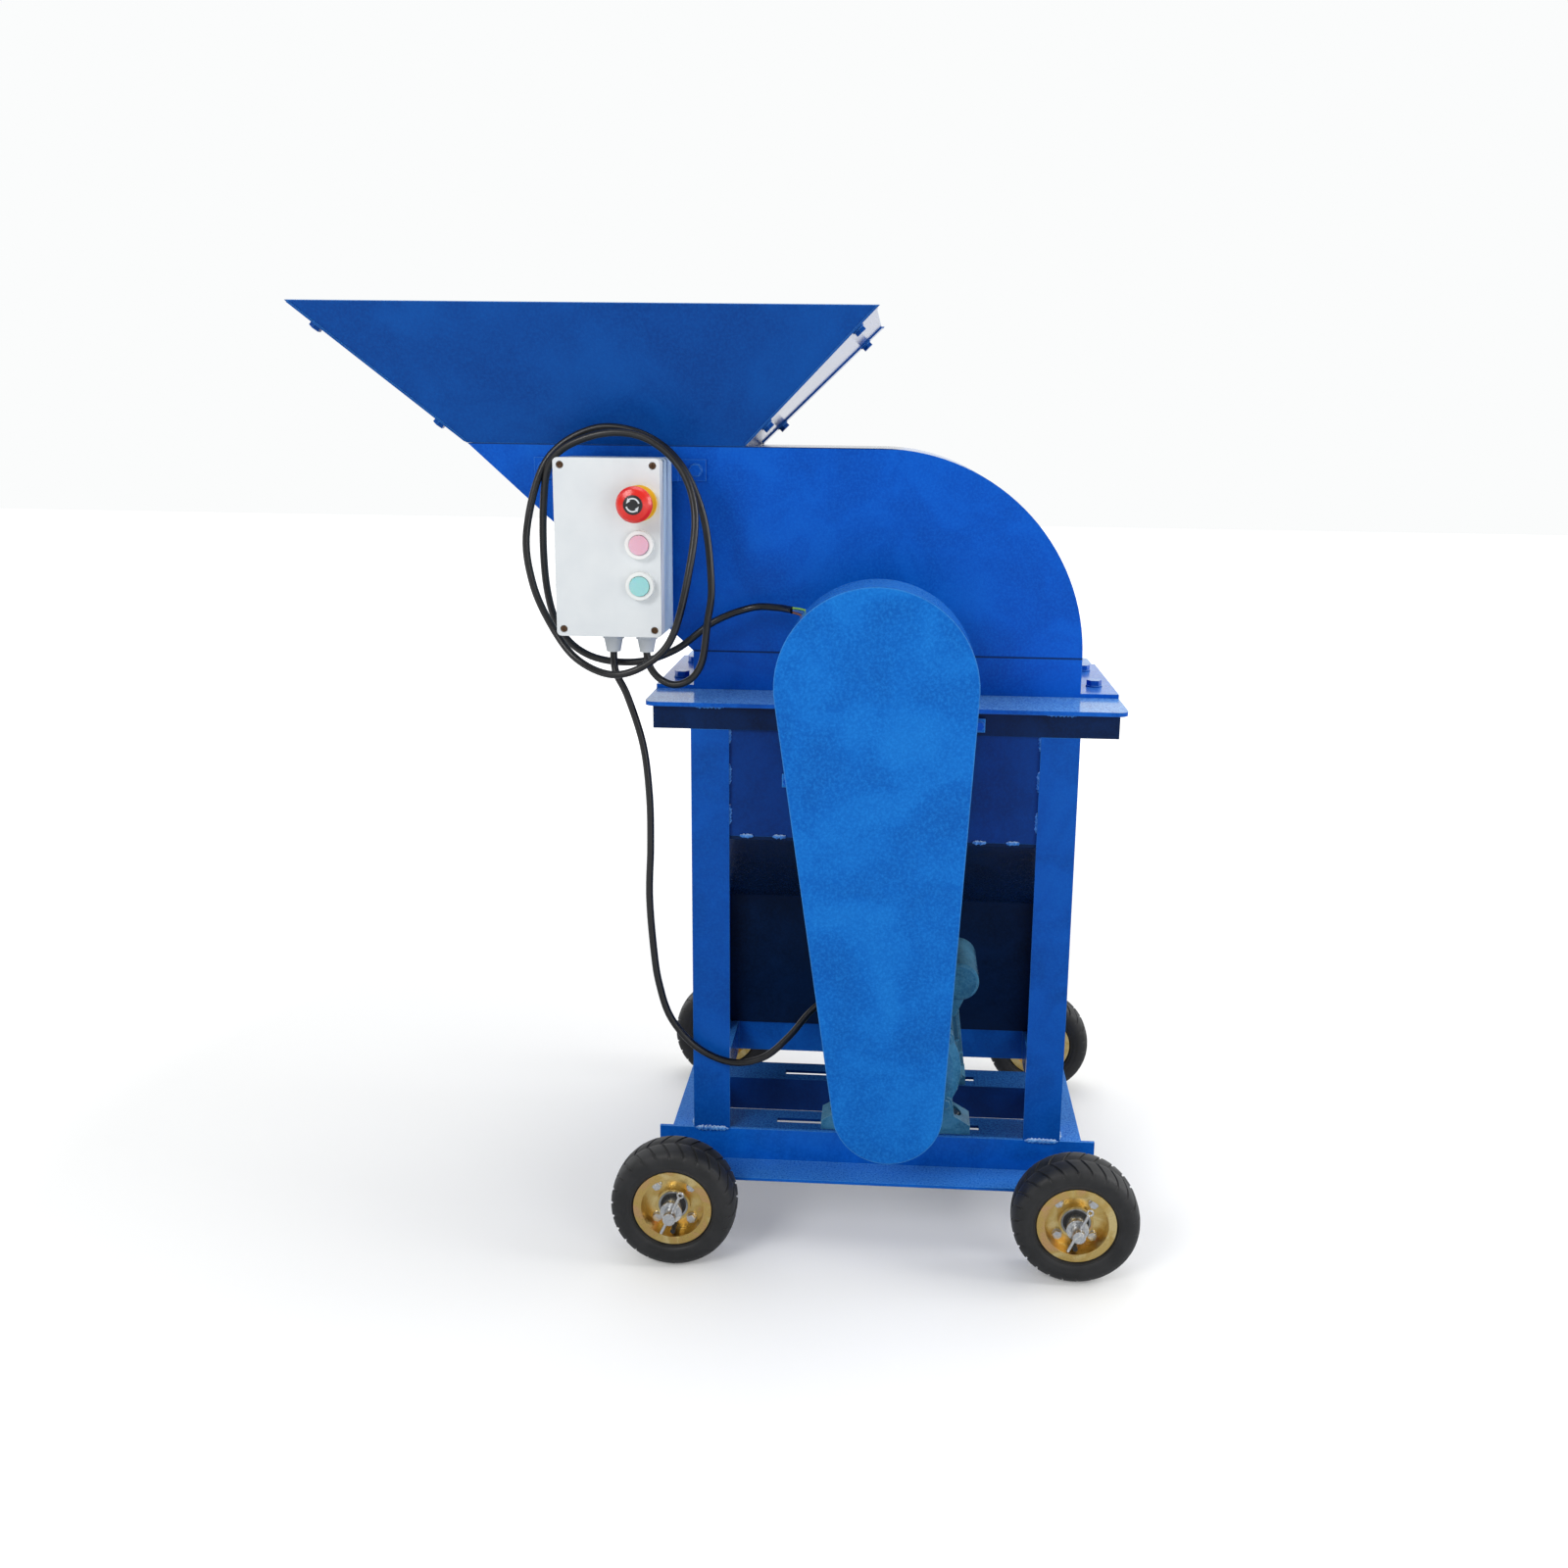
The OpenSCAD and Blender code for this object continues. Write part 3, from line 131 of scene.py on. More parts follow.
def smooth_line(points, steps):
    """Points on a smooth line through the given ones, with so many steps to a span."""
    p = [Vector(q) for q in points]
    line = []
    for i in range(len(p) - 1):
        a, b, c, d = p[max(i - 1, 0)], p[i], p[i + 1], p[min(i + 2, len(p) - 1)]
        for k in range(steps):
            t = k / steps
            line.append(0.5 * (2 * b + (c - a) * t + (2 * a - 5 * b + 4 * c - d) * t * t
                               + (3 * b - a - 3 * c + d) * t ** 3))
    return line + [p[-1]]


def round_lead(name, lines, width):
    """A tube with a round section along each line, as one mesh."""
    data = bpy.data.curves.new(name + "_line", "CURVE")
    data.dimensions = "3D"
    data.bevel_depth = width / 2
    data.bevel_resolution = 5
    data.use_fill_caps = True
    for line in lines:
        spline = data.splines.new("POLY")
        spline.points.add(len(line) - 1)
        for point, place in zip(spline.points, line):
            point.co = (*place, 1)
        spline.use_smooth = True
    drawn = bpy.data.objects.new(name + "_line", data)
    COLLECTION.objects.link(drawn)
    tube = drawn.evaluated_get(bpy.context.evaluated_depsgraph_get())
    mesh = bpy.data.meshes.new_from_object(tube)
    mesh.name = name
    bpy.data.objects.remove(drawn)
    piece = bpy.data.objects.new(name, mesh)
    COLLECTION.objects.link(piece)
    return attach(piece, "root")


# ---- Materials ---------------------------------------------------------------------------------


def linear(hex_colour):
    """Linear RGBA from an sRGB hex value."""
    channels = [int(hex_colour[i:i + 2], 16) / 255 for i in (1, 3, 5)]
    return (*[c / 12.92 if c <= 0.04045 else ((c + 0.055) / 1.055) ** 2.4 for c in channels], 1)


def add(tree, kind, inputs=None, **settings):
    """Adds one shader node, sets it up, and links or fills its inputs."""
    made = tree.nodes.new("ShaderNode" + kind)
    for key, value in settings.items():
        setattr(made, key, value)
    for key, value in (inputs or {}).items():
        if isinstance(value, bpy.types.NodeSocket):
            tree.links.new(value, made.inputs[key])
        elif isinstance(value, str):
            made.inputs[key].default_value = linear(value)
        else:
            made.inputs[key].default_value = value
    return made


def per_mm(size):
    """A noise scale whose features are this many millimetres across."""
    return 1 / (size * MM)


def start_material(name):
    material = bpy.data.materials.new(name)
    material.use_nodes = True
    material.node_tree.nodes.clear()
    tree = material.node_tree
    place = add(tree, "TexCoord").outputs["Object"]
    return material, tree, place


def finish_material(tree, inputs):
    shader = add(tree, "BsdfPrincipled", inputs)
    add(tree, "OutputMaterial", {"Surface": shader.outputs[0]})


def sprayed_enamel(name, thin, body, heavy, bare, cloud=60, dust=0.6, gloss=0.34, fold=1.4,
                   wear=0.55, mist=0.3, joints=()):
    """Machine enamel sprayed by hand on mill-scale sheet steel.
    The eye gets: clouds where passes overlap, a fine speckle, orange peel in the gloss, pale
    overspray settled on level faces, with the same pale colour also a painted highlight on faces
    turned up, coats pulled thin over folded and sheared edges, a wet shine at a glancing angle, and
    painted shade lines at the heights where two sheets meet."""
    material, tree, place = start_material(name)
    surface = add(tree, "NewGeometry").outputs
    clouds = add(tree, "TexNoise", {"Vector": place, "Scale": per_mm(cloud), "Detail": 4.0,
                                    "Roughness": 0.55, "Distortion": 0.6})
    cloudy = add(tree, "MapRange", {"Value": clouds.outputs[0], "From Min": 0.34, "From Max": 0.58})
    coat = add(tree, "Mix", {0: cloudy.outputs[0], 6: heavy, 7: body}, data_type="RGBA")
    passes = add(tree, "MapRange", {"Value": clouds.outputs[0], "From Min": 0.50, "From Max": 0.72,
                                    "To Max": mist})
    coat = add(tree, "Mix", {0: passes.outputs[0], 6: coat.outputs[2], 7: thin}, data_type="RGBA")
    mottle = add(tree, "TexNoise", {"Vector": place, "Scale": per_mm(3.2), "Detail": 3.0,
                                    "Roughness": 0.7})
    mottled = add(tree, "MapRange", {"Value": mottle.outputs[0], "From Min": 0.42, "From Max": 0.70,
                                     "To Max": 0.42})
    coat = add(tree, "Mix", {0: mottled.outputs[0], 6: coat.outputs[2], 7: thin}, data_type="RGBA")
    # Overspray that settled on faces turned up, and a painted highlight on the same faces: both
    # lighten them to the pale colour
    upright = add(tree, "SeparateXYZ", {0: surface["Normal"]})
    level = add(tree, "MapRange", {"Value": upright.outputs[2], "From Min": 0.45, "From Max": 0.95,
                                   "To Max": dust})
    grit = add(tree, "TexNoise", {"Vector": place, "Scale": per_mm(2.4), "Detail": 4.0,
                                  "Roughness": 0.75})
    gritty = add(tree, "MapRange", {"Value": grit.outputs[0], "From Min": 0.36, "From Max": 0.58})
    settled = add(tree, "Math", {0: level.outputs[0], 1: gritty.outputs[0]}, operation="MULTIPLY")
    coat = add(tree, "Mix", {0: settled.outputs[0], 6: coat.outputs[2], 7: bare}, data_type="RGBA")
    # Edges: the coat is thin where the steel turns sharply
    edge = add(tree, "Bevel", {"Radius": fold * MM}, samples=6)
    turn = add(tree, "VectorMath", {0: edge.outputs[0], 1: surface["Normal"]},
               operation="DOT_PRODUCT")
    worn = add(tree, "MapRange", {"Value": turn.outputs["Value"], "From Min": 0.985,
                                  "From Max": 0.80, "To Max": wear})
    coat = add(tree, "Mix", {0: worn.outputs[0], 6: coat.outputs[2], 7: bare}, data_type="RGBA")
    height = add(tree, "SeparateXYZ", {0: place}).outputs[2]
    # Painted shade: a dark navy line at each height where two sheets meet, for the shade in the gap
    # between them
    for joint in joints:
        above = add(tree, "Math", {0: height, 1: joint}, operation="SUBTRACT")
        near = add(tree, "Math", {0: above.outputs[0]}, operation="ABSOLUTE")
        line = add(tree, "MapRange", {"Value": near.outputs[0], "From Min": 1.5 * MM,
                                      "From Max": 0.7 * MM, "To Max": 0.8})
        coat = add(tree, "Mix", {0: line.outputs[0], 6: coat.outputs[2], 7: "#03142c"},
                   data_type="RGBA")
    peel = add(tree, "TexNoise", {"Vector": place, "Scale": per_mm(2.0), "Detail": 1.0})
    relief = add(tree, "Bump", {"Strength": 0.22, "Distance": 0.5 * MM, "Height": peel.outputs[0],
                                "Normal": edge.outputs[0]})
    rough = add(tree, "MapRange", {"Value": mottle.outputs[0], "From Min": 0.35, "From Max": 0.7,
                                   "To Min": gloss, "To Max": gloss + 0.16})
    glance = add(tree, "LayerWeight", {"Blend": 0.5}).outputs["Facing"]
    wet = add(tree, "MapRange", {"Value": glance, "From Min": 0.55, "From Max": 0.86})
    finish_material(tree, {"Base Color": coat.outputs[2], "Roughness": rough.outputs[0],
                           "Normal": relief.outputs[0], "IOR": 1.5,
                           "Specular IOR Level": 0.11, "Coat Weight": wet.outputs[0],
                           "Coat Roughness": 0.14, "Coat IOR": 1.7})
    return material


def plated_steel(name, hues, patch, rough, grain=0.8, metal=1.0):
    """Steel under a thin plating: zinc, or zinc passivated yellow.
    The eye gets: a drift of tint from patch to patch, a fine pickled grain in the shine, and
    brighter corners."""
    material, tree, place = start_material(name)
    drift = add(tree, "TexNoise", {"Vector": place, "Scale": per_mm(patch), "Detail": 2.0,
                                   "Distortion": 1.2})
    first = add(tree, "MapRange", {"Value": drift.outputs[0], "From Min": 0.36, "From Max": 0.52})
    second = add(tree, "MapRange", {"Value": drift.outputs[0], "From Min": 0.52, "From Max": 0.68})
    tint = add(tree, "Mix", {0: first.outputs[0], 6: hues[0], 7: hues[1]}, data_type="RGBA")
    tint = add(tree, "Mix", {0: second.outputs[0], 6: tint.outputs[2], 7: hues[2]},
               data_type="RGBA")
    pickle = add(tree, "TexNoise", {"Vector": place, "Scale": per_mm(grain), "Detail": 2.0})
    edge = add(tree, "Bevel", {"Radius": 0.7 * MM}, samples=4)
    relief = add(tree, "Bump", {"Strength": 0.12, "Distance": 0.2 * MM, "Height": pickle.outputs[0],
                                "Normal": edge.outputs[0]})
    shine = add(tree, "MapRange", {"Value": pickle.outputs[0], "From Min": 0.35, "From Max": 0.65,
                                   "To Min": rough, "To Max": rough + 0.14})
    finish_material(tree, {"Base Color": tint.outputs[2], "Metallic": metal,
                           "Roughness": shine.outputs[0], "Normal": relief.outputs[0]})
    return material


def machined_metal(name, light, dark, rough, lay=(1, 40, 1), pitch=14):
    """Turned, sheared or machined iron and steel left bare under a film of oil.
    The eye gets: tool marks drawn out one way, darker mill scale between them, and a soft shine."""
    material, tree, place = start_material(name)
    drawn = add(tree, "Mapping", {"Vector": place, "Scale": lay})
    marks = add(tree, "TexNoise", {"Vector": drawn.outputs[0], "Scale": per_mm(pitch),
                                   "Detail": 3.0})
    scale_film = add(tree, "TexNoise", {"Vector": place, "Scale": per_mm(18), "Detail": 4.0})
    film = add(tree, "MapRange", {"Value": scale_film.outputs[0], "From Min": 0.4,
                                  "From Max": 0.65})
    tone = add(tree, "Mix", {0: film.outputs[0], 6: light, 7: dark}, data_type="RGBA")
    relief = add(tree, "Bump", {"Strength": 0.15, "Distance": 0.2 * MM, "Height": marks.outputs[0]})
    shine = add(tree, "MapRange", {"Value": marks.outputs[0], "From Min": 0.35, "From Max": 0.65,
                                   "To Min": rough, "To Max": rough + 0.18})
    finish_material(tree, {"Base Color": tone.outputs[2], "Metallic": 1.0,
                           "Roughness": shine.outputs[0], "Normal": relief.outputs[0]})
    return material


def moulded_rubber(name, black, bloom, rough, grain=1.2, patch=22, sheen=0.2):
    """Black rubber out of a mould.
    The eye gets: a grey bloom in drifting patches, a fine pebbled skin, and a dull soft shine."""
    material, tree, place = start_material(name)
    drift = add(tree, "TexNoise", {"Vector": place, "Scale": per_mm(patch), "Detail": 5.0,
                                   "Roughness": 0.62})
    bloomed = add(tree, "MapRange", {"Value": drift.outputs[0], "From Min": 0.42, "From Max": 0.72,
                                     "To Max": 0.7})
    tone = add(tree, "Mix", {0: bloomed.outputs[0], 6: black, 7: bloom}, data_type="RGBA")
    pebble = add(tree, "TexNoise", {"Vector": place, "Scale": per_mm(grain), "Detail": 2.0})
    relief = add(tree, "Bump", {"Strength": 0.25, "Distance": 0.25 * MM,
                                "Height": pebble.outputs[0]})
    shine = add(tree, "MapRange", {"Value": drift.outputs[0], "From Min": 0.3, "From Max": 0.7,
                                   "To Min": rough, "To Max": rough + 0.2})
    finish_material(tree, {"Base Color": tone.outputs[2], "Roughness": shine.outputs[0],
                           "Normal": relief.outputs[0], "IOR": 1.52, "Sheen Weight": sheen,
                           "Sheen Roughness": 0.5})
    return material


def moulded_plastic(name, body, shade, rough, grain=0.9, relief_depth=0.15, edge_round=0.8,
                    glow=0.0, seam=None):
    """Injection-moulded ABS, nylon or acrylic.
    The eye gets: a fine spark-eroded grain, drawn coarser than it is so that it shows, slow flow
    marks in the colour, softly rounded corners, and a painted shade line at the joint where there
    is one."""
    material, tree, place = start_material(name)
    flow = add(tree, "TexNoise", {"Vector": place, "Scale": per_mm(45), "Detail": 3.0})
    flowing = add(tree, "MapRange", {"Value": flow.outputs[0], "From Min": 0.35, "From Max": 0.7})
    tone = add(tree, "Mix", {0: flowing.outputs[0], 6: body, 7: shade}, data_type="RGBA")
    # Painted shade: a dark grey line along the seam, for the shade in the joint between base and lid
    if seam is not None:
        along = add(tree, "SeparateXYZ", {0: place})
        away = add(tree, "Math", {0: along.outputs[1], 1: seam}, operation="SUBTRACT")
        near = add(tree, "Math", {0: away.outputs[0]}, operation="ABSOLUTE")
        line = add(tree, "MapRange", {"Value": near.outputs[0], "From Min": 0.45 * MM,
                                      "From Max": 0.3 * MM, "To Max": 0.8})
        tone = add(tree, "Mix", {0: line.outputs[0], 6: tone.outputs[2], 7: "#4b5358"},
                   data_type="RGBA")
    spark = add(tree, "TexNoise", {"Vector": place, "Scale": per_mm(grain), "Detail": 2.0})
    edge = add(tree, "Bevel", {"Radius": edge_round * MM}, samples=6)
    relief = add(tree, "Bump", {"Strength": relief_depth, "Distance": 0.2 * MM,
                                "Height": spark.outputs[0], "Normal": edge.outputs[0]})
    shine = add(tree, "MapRange", {"Value": spark.outputs[0], "From Min": 0.35, "From Max": 0.65,
                                   "To Min": rough, "To Max": rough + 0.08})
    finish_material(tree, {"Base Color": tone.outputs[2], "Roughness": shine.outputs[0],
                           "Normal": relief.outputs[0], "IOR": 1.5,
                           "Subsurface Weight": glow, "Subsurface Scale": 3 * MM})
    return material


BOX_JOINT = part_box("box_base")[0].y
# Heights of the upper housing's lower and upper edges
HOUSING_JOINTS = [corner.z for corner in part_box("upper_housing")]
blue_enamel = sprayed_enamel("blue_enamel", "#0e6ad2", "#0053be", "#004bb0", "#5aa6ec", cloud=75,
                             joints=HOUSING_JOINTS)
# Painted shade: the hopper's copy of the blue enamel is darker because its plates face down, away
# from the light
hopper_enamel = sprayed_enamel("hopper_enamel", "#0c56aa", "#054594", "#043e8a", "#4f9ae2",
                               cloud=90)
guard_enamel = sprayed_enamel("guard_enamel", "#2490e6", "#0464c2", "#035ab4", "#5cacf2", cloud=85,
                              fold=3.2, mist=0.26)
# Painted light: the top plate's copy of the blue enamel is lighter and paler on its upper face, for
# the glare on it
deck_enamel = sprayed_enamel("deck_enamel", "#1a70d2", "#0454b6", "#004aa6", "#78b6ee", cloud=40,
                             dust=0.95, wear=0.2)
rail_enamel = sprayed_enamel("rail_enamel", "#1672d6", "#055ec6", "#0454b4", "#58a4ea", cloud=50)
stand_enamel = sprayed_enamel("stand_enamel", "#0f5eb8", "#044eaa", "#03469a", "#4a94dc")
# Painted shadow: the top frame's copy of the blue enamel is dark navy for the shadow it lies in
band_enamel = sprayed_enamel("band_enamel", "#062a5c", "#02204a", "#02193c", "#2d68ac", wear=0.35)
# Painted shade: a darker copy of the blue enamel for the motor rails and skirt, which lie in shade
dark_enamel = sprayed_enamel("dark_enamel", "#074292", "#03357e", "#032e70", "#3f84cc")
# Painted shade: a near-black copy of the blue enamel for the chute's underside, which lies in shadow
chute_enamel = sprayed_enamel("chute_enamel", "#052a58", "#021f46", "#011838", "#0a3a70")
# Painted highlights: the weld beads' enamel is pale blue to white, for the light that glints off
# their ripples
weld_enamel = sprayed_enamel("weld_enamel", "#84bcf0", "#2f7ed4", "#0b52aa", "#cfe6fa",
                             cloud=6, dust=1.0, gloss=0.22, mist=0.8)
motor_enamel = sprayed_enamel("motor_enamel", "#5c9cbc", "#33769e", "#265e80", "#8cbcd0",
                              cloud=30, dust=0.35, gloss=0.4)
bright_zinc = plated_steel("bright_zinc", ("#d9dadb", "#c4c6c9", "#ece9e2"), 9, 0.24)
yellow_zinc = plated_steel("yellow_passivated_zinc", ("#e6cf92", "#d2b268", "#d8ac7c"), 34, 0.26)
browned_screw = plated_steel("browned_screw", ("#6a5140", "#53402f", "#7a6250"), 6, 0.4)
turned_steel = machined_metal("turned_steel", "#b4b6b8", "#8d9093", 0.28)
sheared_steel = machined_metal("sheared_steel", "#9a9c9e", "#6f7275", 0.38, lay=(1, 1, 12), pitch=9)
cast_iron = machined_metal("machined_cast_iron", "#8b8e90", "#606366", 0.42, lay=(1, 1, 1), pitch=2)
tyre_rubber = moulded_rubber("tyre_rubber", "#101113", "#2b2b2d", 0.46, grain=1.6, sheen=0.08)
lead_sheath = moulded_rubber("lead_sheath", "#09090b", "#151517", 0.24, grain=2.5, patch=30,
                             sheen=0.0)
belt_rubber = moulded_rubber("belt_rubber", "#1d1d1e", "#343331", 0.7, grain=0.8)
seal_rubber = moulded_rubber("seal_rubber", "#141415", "#262627", 0.45)
# Painted reflection: the box base's pale grey ABS is tinted blue for the blue light the housing
# throws onto it
box_abs = moulded_plastic("pale_grey_abs_painted_blue_bounce", "#c2d8e8", "#b6cee0", 0.42, seam=BOX_JOINT)
lid_abs = moulded_plastic("pale_lid_abs", "#e0e4e6", "#d8dde0", 0.38, seam=BOX_JOINT)
gland_nylon = moulded_plastic("grey_nylon", "#cfd3d6", "#bfc4c8", 0.45)
bezel_plastic = moulded_plastic("white_bezel", "#eff0ee", "#e3e5e4", 0.25, relief_depth=0.05,
                                edge_round=1.4)
collar_plastic = moulded_plastic("yellow_collar", "#f0c02a", "#e3ac14", 0.3, relief_depth=0.05)
stem_plastic = moulded_plastic("grey_stem", "#a9abad", "#97999b", 0.4)
stop_red = moulded_plastic("stop_red", "#df2a20", "#cf1d18", 0.18, relief_depth=0.03,
                           edge_round=1.6, glow=0.05)
pink_lens = moulded_plastic("pink_lens", "#e6b8ca", "#dfacc0", 0.22, relief_depth=0.04, glow=0.3)
teal_lens = moulded_plastic("teal_lens", "#a2d9d9", "#96d1d1", 0.22, relief_depth=0.04, glow=0.3)
disc_black = moulded_plastic("disc_black", "#17181a", "#222326", 0.35, relief_depth=0.05)
arrow_white = moulded_plastic("arrow_white", "#d8dbdd", "#c9cdd0", 0.4, relief_depth=0.05)
core_brown = moulded_plastic("core_brown", "#7a4526", "#6b3a1f", 0.35, relief_depth=0.05)
core_blue = moulded_plastic("core_blue", "#1f63b8", "#1a57a6", 0.35, relief_depth=0.05)
core_green = moulded_plastic("core_green_yellow", "#c9c832", "#3f9a3c", 0.35, relief_depth=0.05)
copper_wire = machined_metal("copper_wire", "#d98a5b", "#b96a41", 0.3)


# ---- Finishing the frame -----------------------------------------------------------------------


def solids_of(mesh):
    """The faces of each separate solid in a mesh, joined where corners share a place."""
    key_of, root = {}, []
    corner = []
    for vertex in mesh.vertices:
        key = tuple(round(c * 1e5) for c in vertex.co)
        if key not in key_of:
            key_of[key] = len(root)
            root.append(len(root))
        corner.append(key_of[key])

    def find(i):
        while root[i] != i:
            root[i] = root[root[i]]
            i = root[i]
        return i

    for polygon in mesh.polygons:
        first = find(corner[polygon.vertices[0]])
        for v in polygon.vertices[1:]:
            root[find(corner[v])] = first
    solids = {}
    for polygon in mesh.polygons:
        solids.setdefault(find(corner[polygon.vertices[0]]), []).append(polygon)
    return list(solids.values())


def dress(node_name, *materials, choose=None):
    """Gives a node its materials. choose(low, high) picks one by a solid's corners."""
    mesh = NODES[node_name].data
    mesh.materials.clear()
    for material in materials:
        mesh.materials.append(material)
    for polygon in mesh.polygons:
        polygon.material_index = 0
    if choose is None:
        return
    for solid in solids_of(mesh):
        points = [mesh.vertices[v].co for polygon in solid for v in polygon.vertices]
        low = Vector([min(p[i] for p in points) for i in range(3)])
        high = Vector([max(p[i] for p in points) for i in range(3)])
        pick = choose(low, high)
        for polygon in solid:
            polygon.material_index = pick


FINISHES = {
    blue_enamel: ["lower_housing", "upper_housing", "small_bolts", "box_strap"],
    hopper_enamel: ["hopper_front_plate", "hopper_rear_plate", "hopper_left_plate",
                    "hopper_right_plate", "hopper_bolts"],
    deck_enamel: ["top_plate", "housing_bolts"],
    guard_enamel: ["belt_guard"],
    rail_enamel: ["base_rails"],
    stand_enamel: ["legs", "pillow_blocks"],
    band_enamel: ["top_frame"],
    dark_enamel: ["motor_rails", "discharge_skirt"],
    chute_enamel: ["discharge_chute"],
    motor_enamel: ["motor_body", "motor_end_shields", "motor_fan_cowl", "motor_capacitor",
                   "motor_terminal_box"],
    bright_zinc: ["axles", "axle_retainers", "motor_bolts"],
    browned_screw: ["box_screws"],
    turned_steel: ["rotor_shaft", "hammer_pins", "bearing_inserts", "motor_shaft"],
    sheared_steel: ["screen", "rotor_discs", "hammer_row_1", "hammer_row_2", "hammer_row_3",
                    "hammer_row_4"],
    cast_iron: ["rotor_pulley", "motor_pulley"],
    belt_rubber: ["drive_belts"],
    box_abs: ["box_base"],
    lid_abs: ["box_lid"],
    gland_nylon: ["cable_glands"],
    stem_plastic: ["emergency_stop_stem"],
    stop_red: ["emergency_stop_head"],
    pink_lens: ["stop_button"],
    teal_lens: ["start_button"],
}

WHEELS = ["front_left", "front_right", "rear_left", "rear_right"]


def dress_frame():
    for material, names in FINISHES.items():
        for name in names:
            dress(name, material)
    top_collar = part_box("emergency_stop_head")[0].z
    dress("switch_collars", bezel_plastic, collar_plastic,
          choose=lambda low, high: int((low.z + high.z) / 2 > top_collar))
    # A rim's pressed halves are the widest solids, its bearings the next, then nuts and bolts
    for wheel in WHEELS:
        dress(wheel + "_rim", yellow_zinc, turned_steel, bright_zinc, seal_rubber,
              choose=lambda low, high: rim_finish(high - low))


# A rim's solids told apart by size: pressed halves, bearings, and the valve stem, which is long
PRESSING_WIDTH = 60 * MM
BEARING_WIDTH = 30 * MM
STEM_LENGTH = 20 * MM


def rim_finish(size):
    """The number of a rim solid's material in the list that dress_frame gives."""
    across = max(size.x, size.z)
    if across > PRESSING_WIDTH:
        return 0
    if across > BEARING_WIDTH:
        return 1
    return 3 if size.y > STEM_LENGTH else 2


# ---- New pieces --------------------------------------------------------------------------------


def mesh_piece(name, points, faces, material, body="root", smooth=35):
    """A new piece from points and faces in the row frame, riding on a body."""
    mesh = bpy.data.meshes.new(name)
    mesh.from_pydata([tuple(p) for p in points], [], faces)
    mesh.validate()
    mesh.materials.append(material)
    mesh.shade_smooth()
    if smooth:
        mesh.set_sharp_from_angle(angle=math.radians(smooth))
    piece = bpy.data.objects.new(name, mesh)
    COLLECTION.objects.link(piece)
    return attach(piece, body)


LUGS = 26
LUG_SLANT = 0.85
GROOVE_DEPTH = 1.9 * MM
# Where a groove's wall, floor and wall lie in one lug's share of the tread
LUG_STEPS = [(0.0, 0), (0.05, 1), (0.15, 1), (0.20, 0), (0.40, 0), (0.60, 0), (0.80, 0)]
# The tyre's section from bead to bead: radius and offset as shares of the wheel's radius and
# half width, how deep the grooves cut there, and how far the grooves lean round
TYRE_SECTION = [
    (0.545, 0.40, 0), (0.555, 0.66, 0), (0.632, 0.67, 0), (0.640, 0.80, 0), (0.652, 0.86, 0),
    (0.668, 0.86, 0), (0.680, 0.90, 0), (0.730, 0.965, 0), (0.745, 0.962, 0), (0.757, 0.978, 0),
    (0.800, 0.995, 0), (0.845, 0.992, 0.0), (0.872, 0.975, 0.35), (0.915, 0.925, 0.85),
    (0.945, 0.845, 1), (0.968, 0.735, 1), (0.982, 0.600, 1), (0.991, 0.450, 1),
    (0.996, 0.300, 1), (0.999, 0.150, 1)]


def tyre(wheel):
    """A small pneumatic tyre with a chevron tread, ribbed walls and a crown groove."""
    low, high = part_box(wheel + "_tyre")
    hub = (low + high) / 2
    radius, half_width = (high.z - low.z) / 2, (high.y - low.y) / 2
    half = [(r * radius, -w * half_width, cut) for r, w, cut in TYRE_SECTION]
    crown = [(radius, 0.0, 1)]
    section = half + crown + [(r, -w, cut) for r, w, cut in reversed(half)]
    # The air side
    section += [(0.64 * radius, 0.42 * half_width, 0), (0.76 * radius, 0.66 * half_width, 0),
                (0.86 * radius, 0.62 * half_width, 0), (0.90 * radius, 0.30 * half_width, 0),
                (0.90 * radius, -0.30 * half_width, 0), (0.86 * radius, -0.62 * half_width, 0),
                (0.76 * radius, -0.66 * half_width, 0), (0.64 * radius, -0.42 * half_width, 0)]
    treads = 2 * len(half) + 1
    points = []
    for lug in range(LUGS):
        for share, groove in LUG_STEPS:
            for k, (r, w, cut) in enumerate(section):
                lean = LUG_SLANT * abs(w) / half_width if k < treads else 0
                turn = 2 * math.pi * (lug + share + lean) / LUGS
                depth = groove * cut * GROOVE_DEPTH if k < treads else 0
                # A shallow groove round the crown parts the two halves of the chevron
                if k < treads and abs(w) < 0.04 * half_width:
                    depth = max(depth, 0.8 * GROOVE_DEPTH)
                points.append(hub + Vector(((r - depth) * math.sin(turn), w,
                                            (r - depth) * math.cos(turn))))
    n, rows = len(section), LUGS * len(LUG_STEPS)
    faces = [(i * n + k, ((i + 1) % rows) * n + k, ((i + 1) % rows) * n + (k + 1) % n,
              i * n + (k + 1) % n) for i in range(rows) for k in range(n)]
    piece = mesh_piece(wheel + "_tyre_tread", points, faces, tyre_rubber, wheel + "_wheel", 28)
    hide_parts(wheel + "_tyre")


def lathe(name, outline, centre, axis_y, material, body, steps=64):
    """A turned piece about Y: the outline is (radius, distance along Y) in millimetres."""
    points, faces = [], []
    n = len(outline)
    for i in range(steps):
        a = 2 * math.pi * i / steps
        for r, y in outline:
            points.append(Vector((centre.x + r * MM * math.sin(a), axis_y + y * MM,
                                  centre.z + r * MM * math.cos(a))))
    for i in range(steps):
        for k in range(n):
            faces.append((i * n + k, ((i + 1) % steps) * n + k,
                          ((i + 1) % steps) * n + (k + 1) % n, i * n + (k + 1) % n))
    return mesh_piece(name, points, faces, material, body)


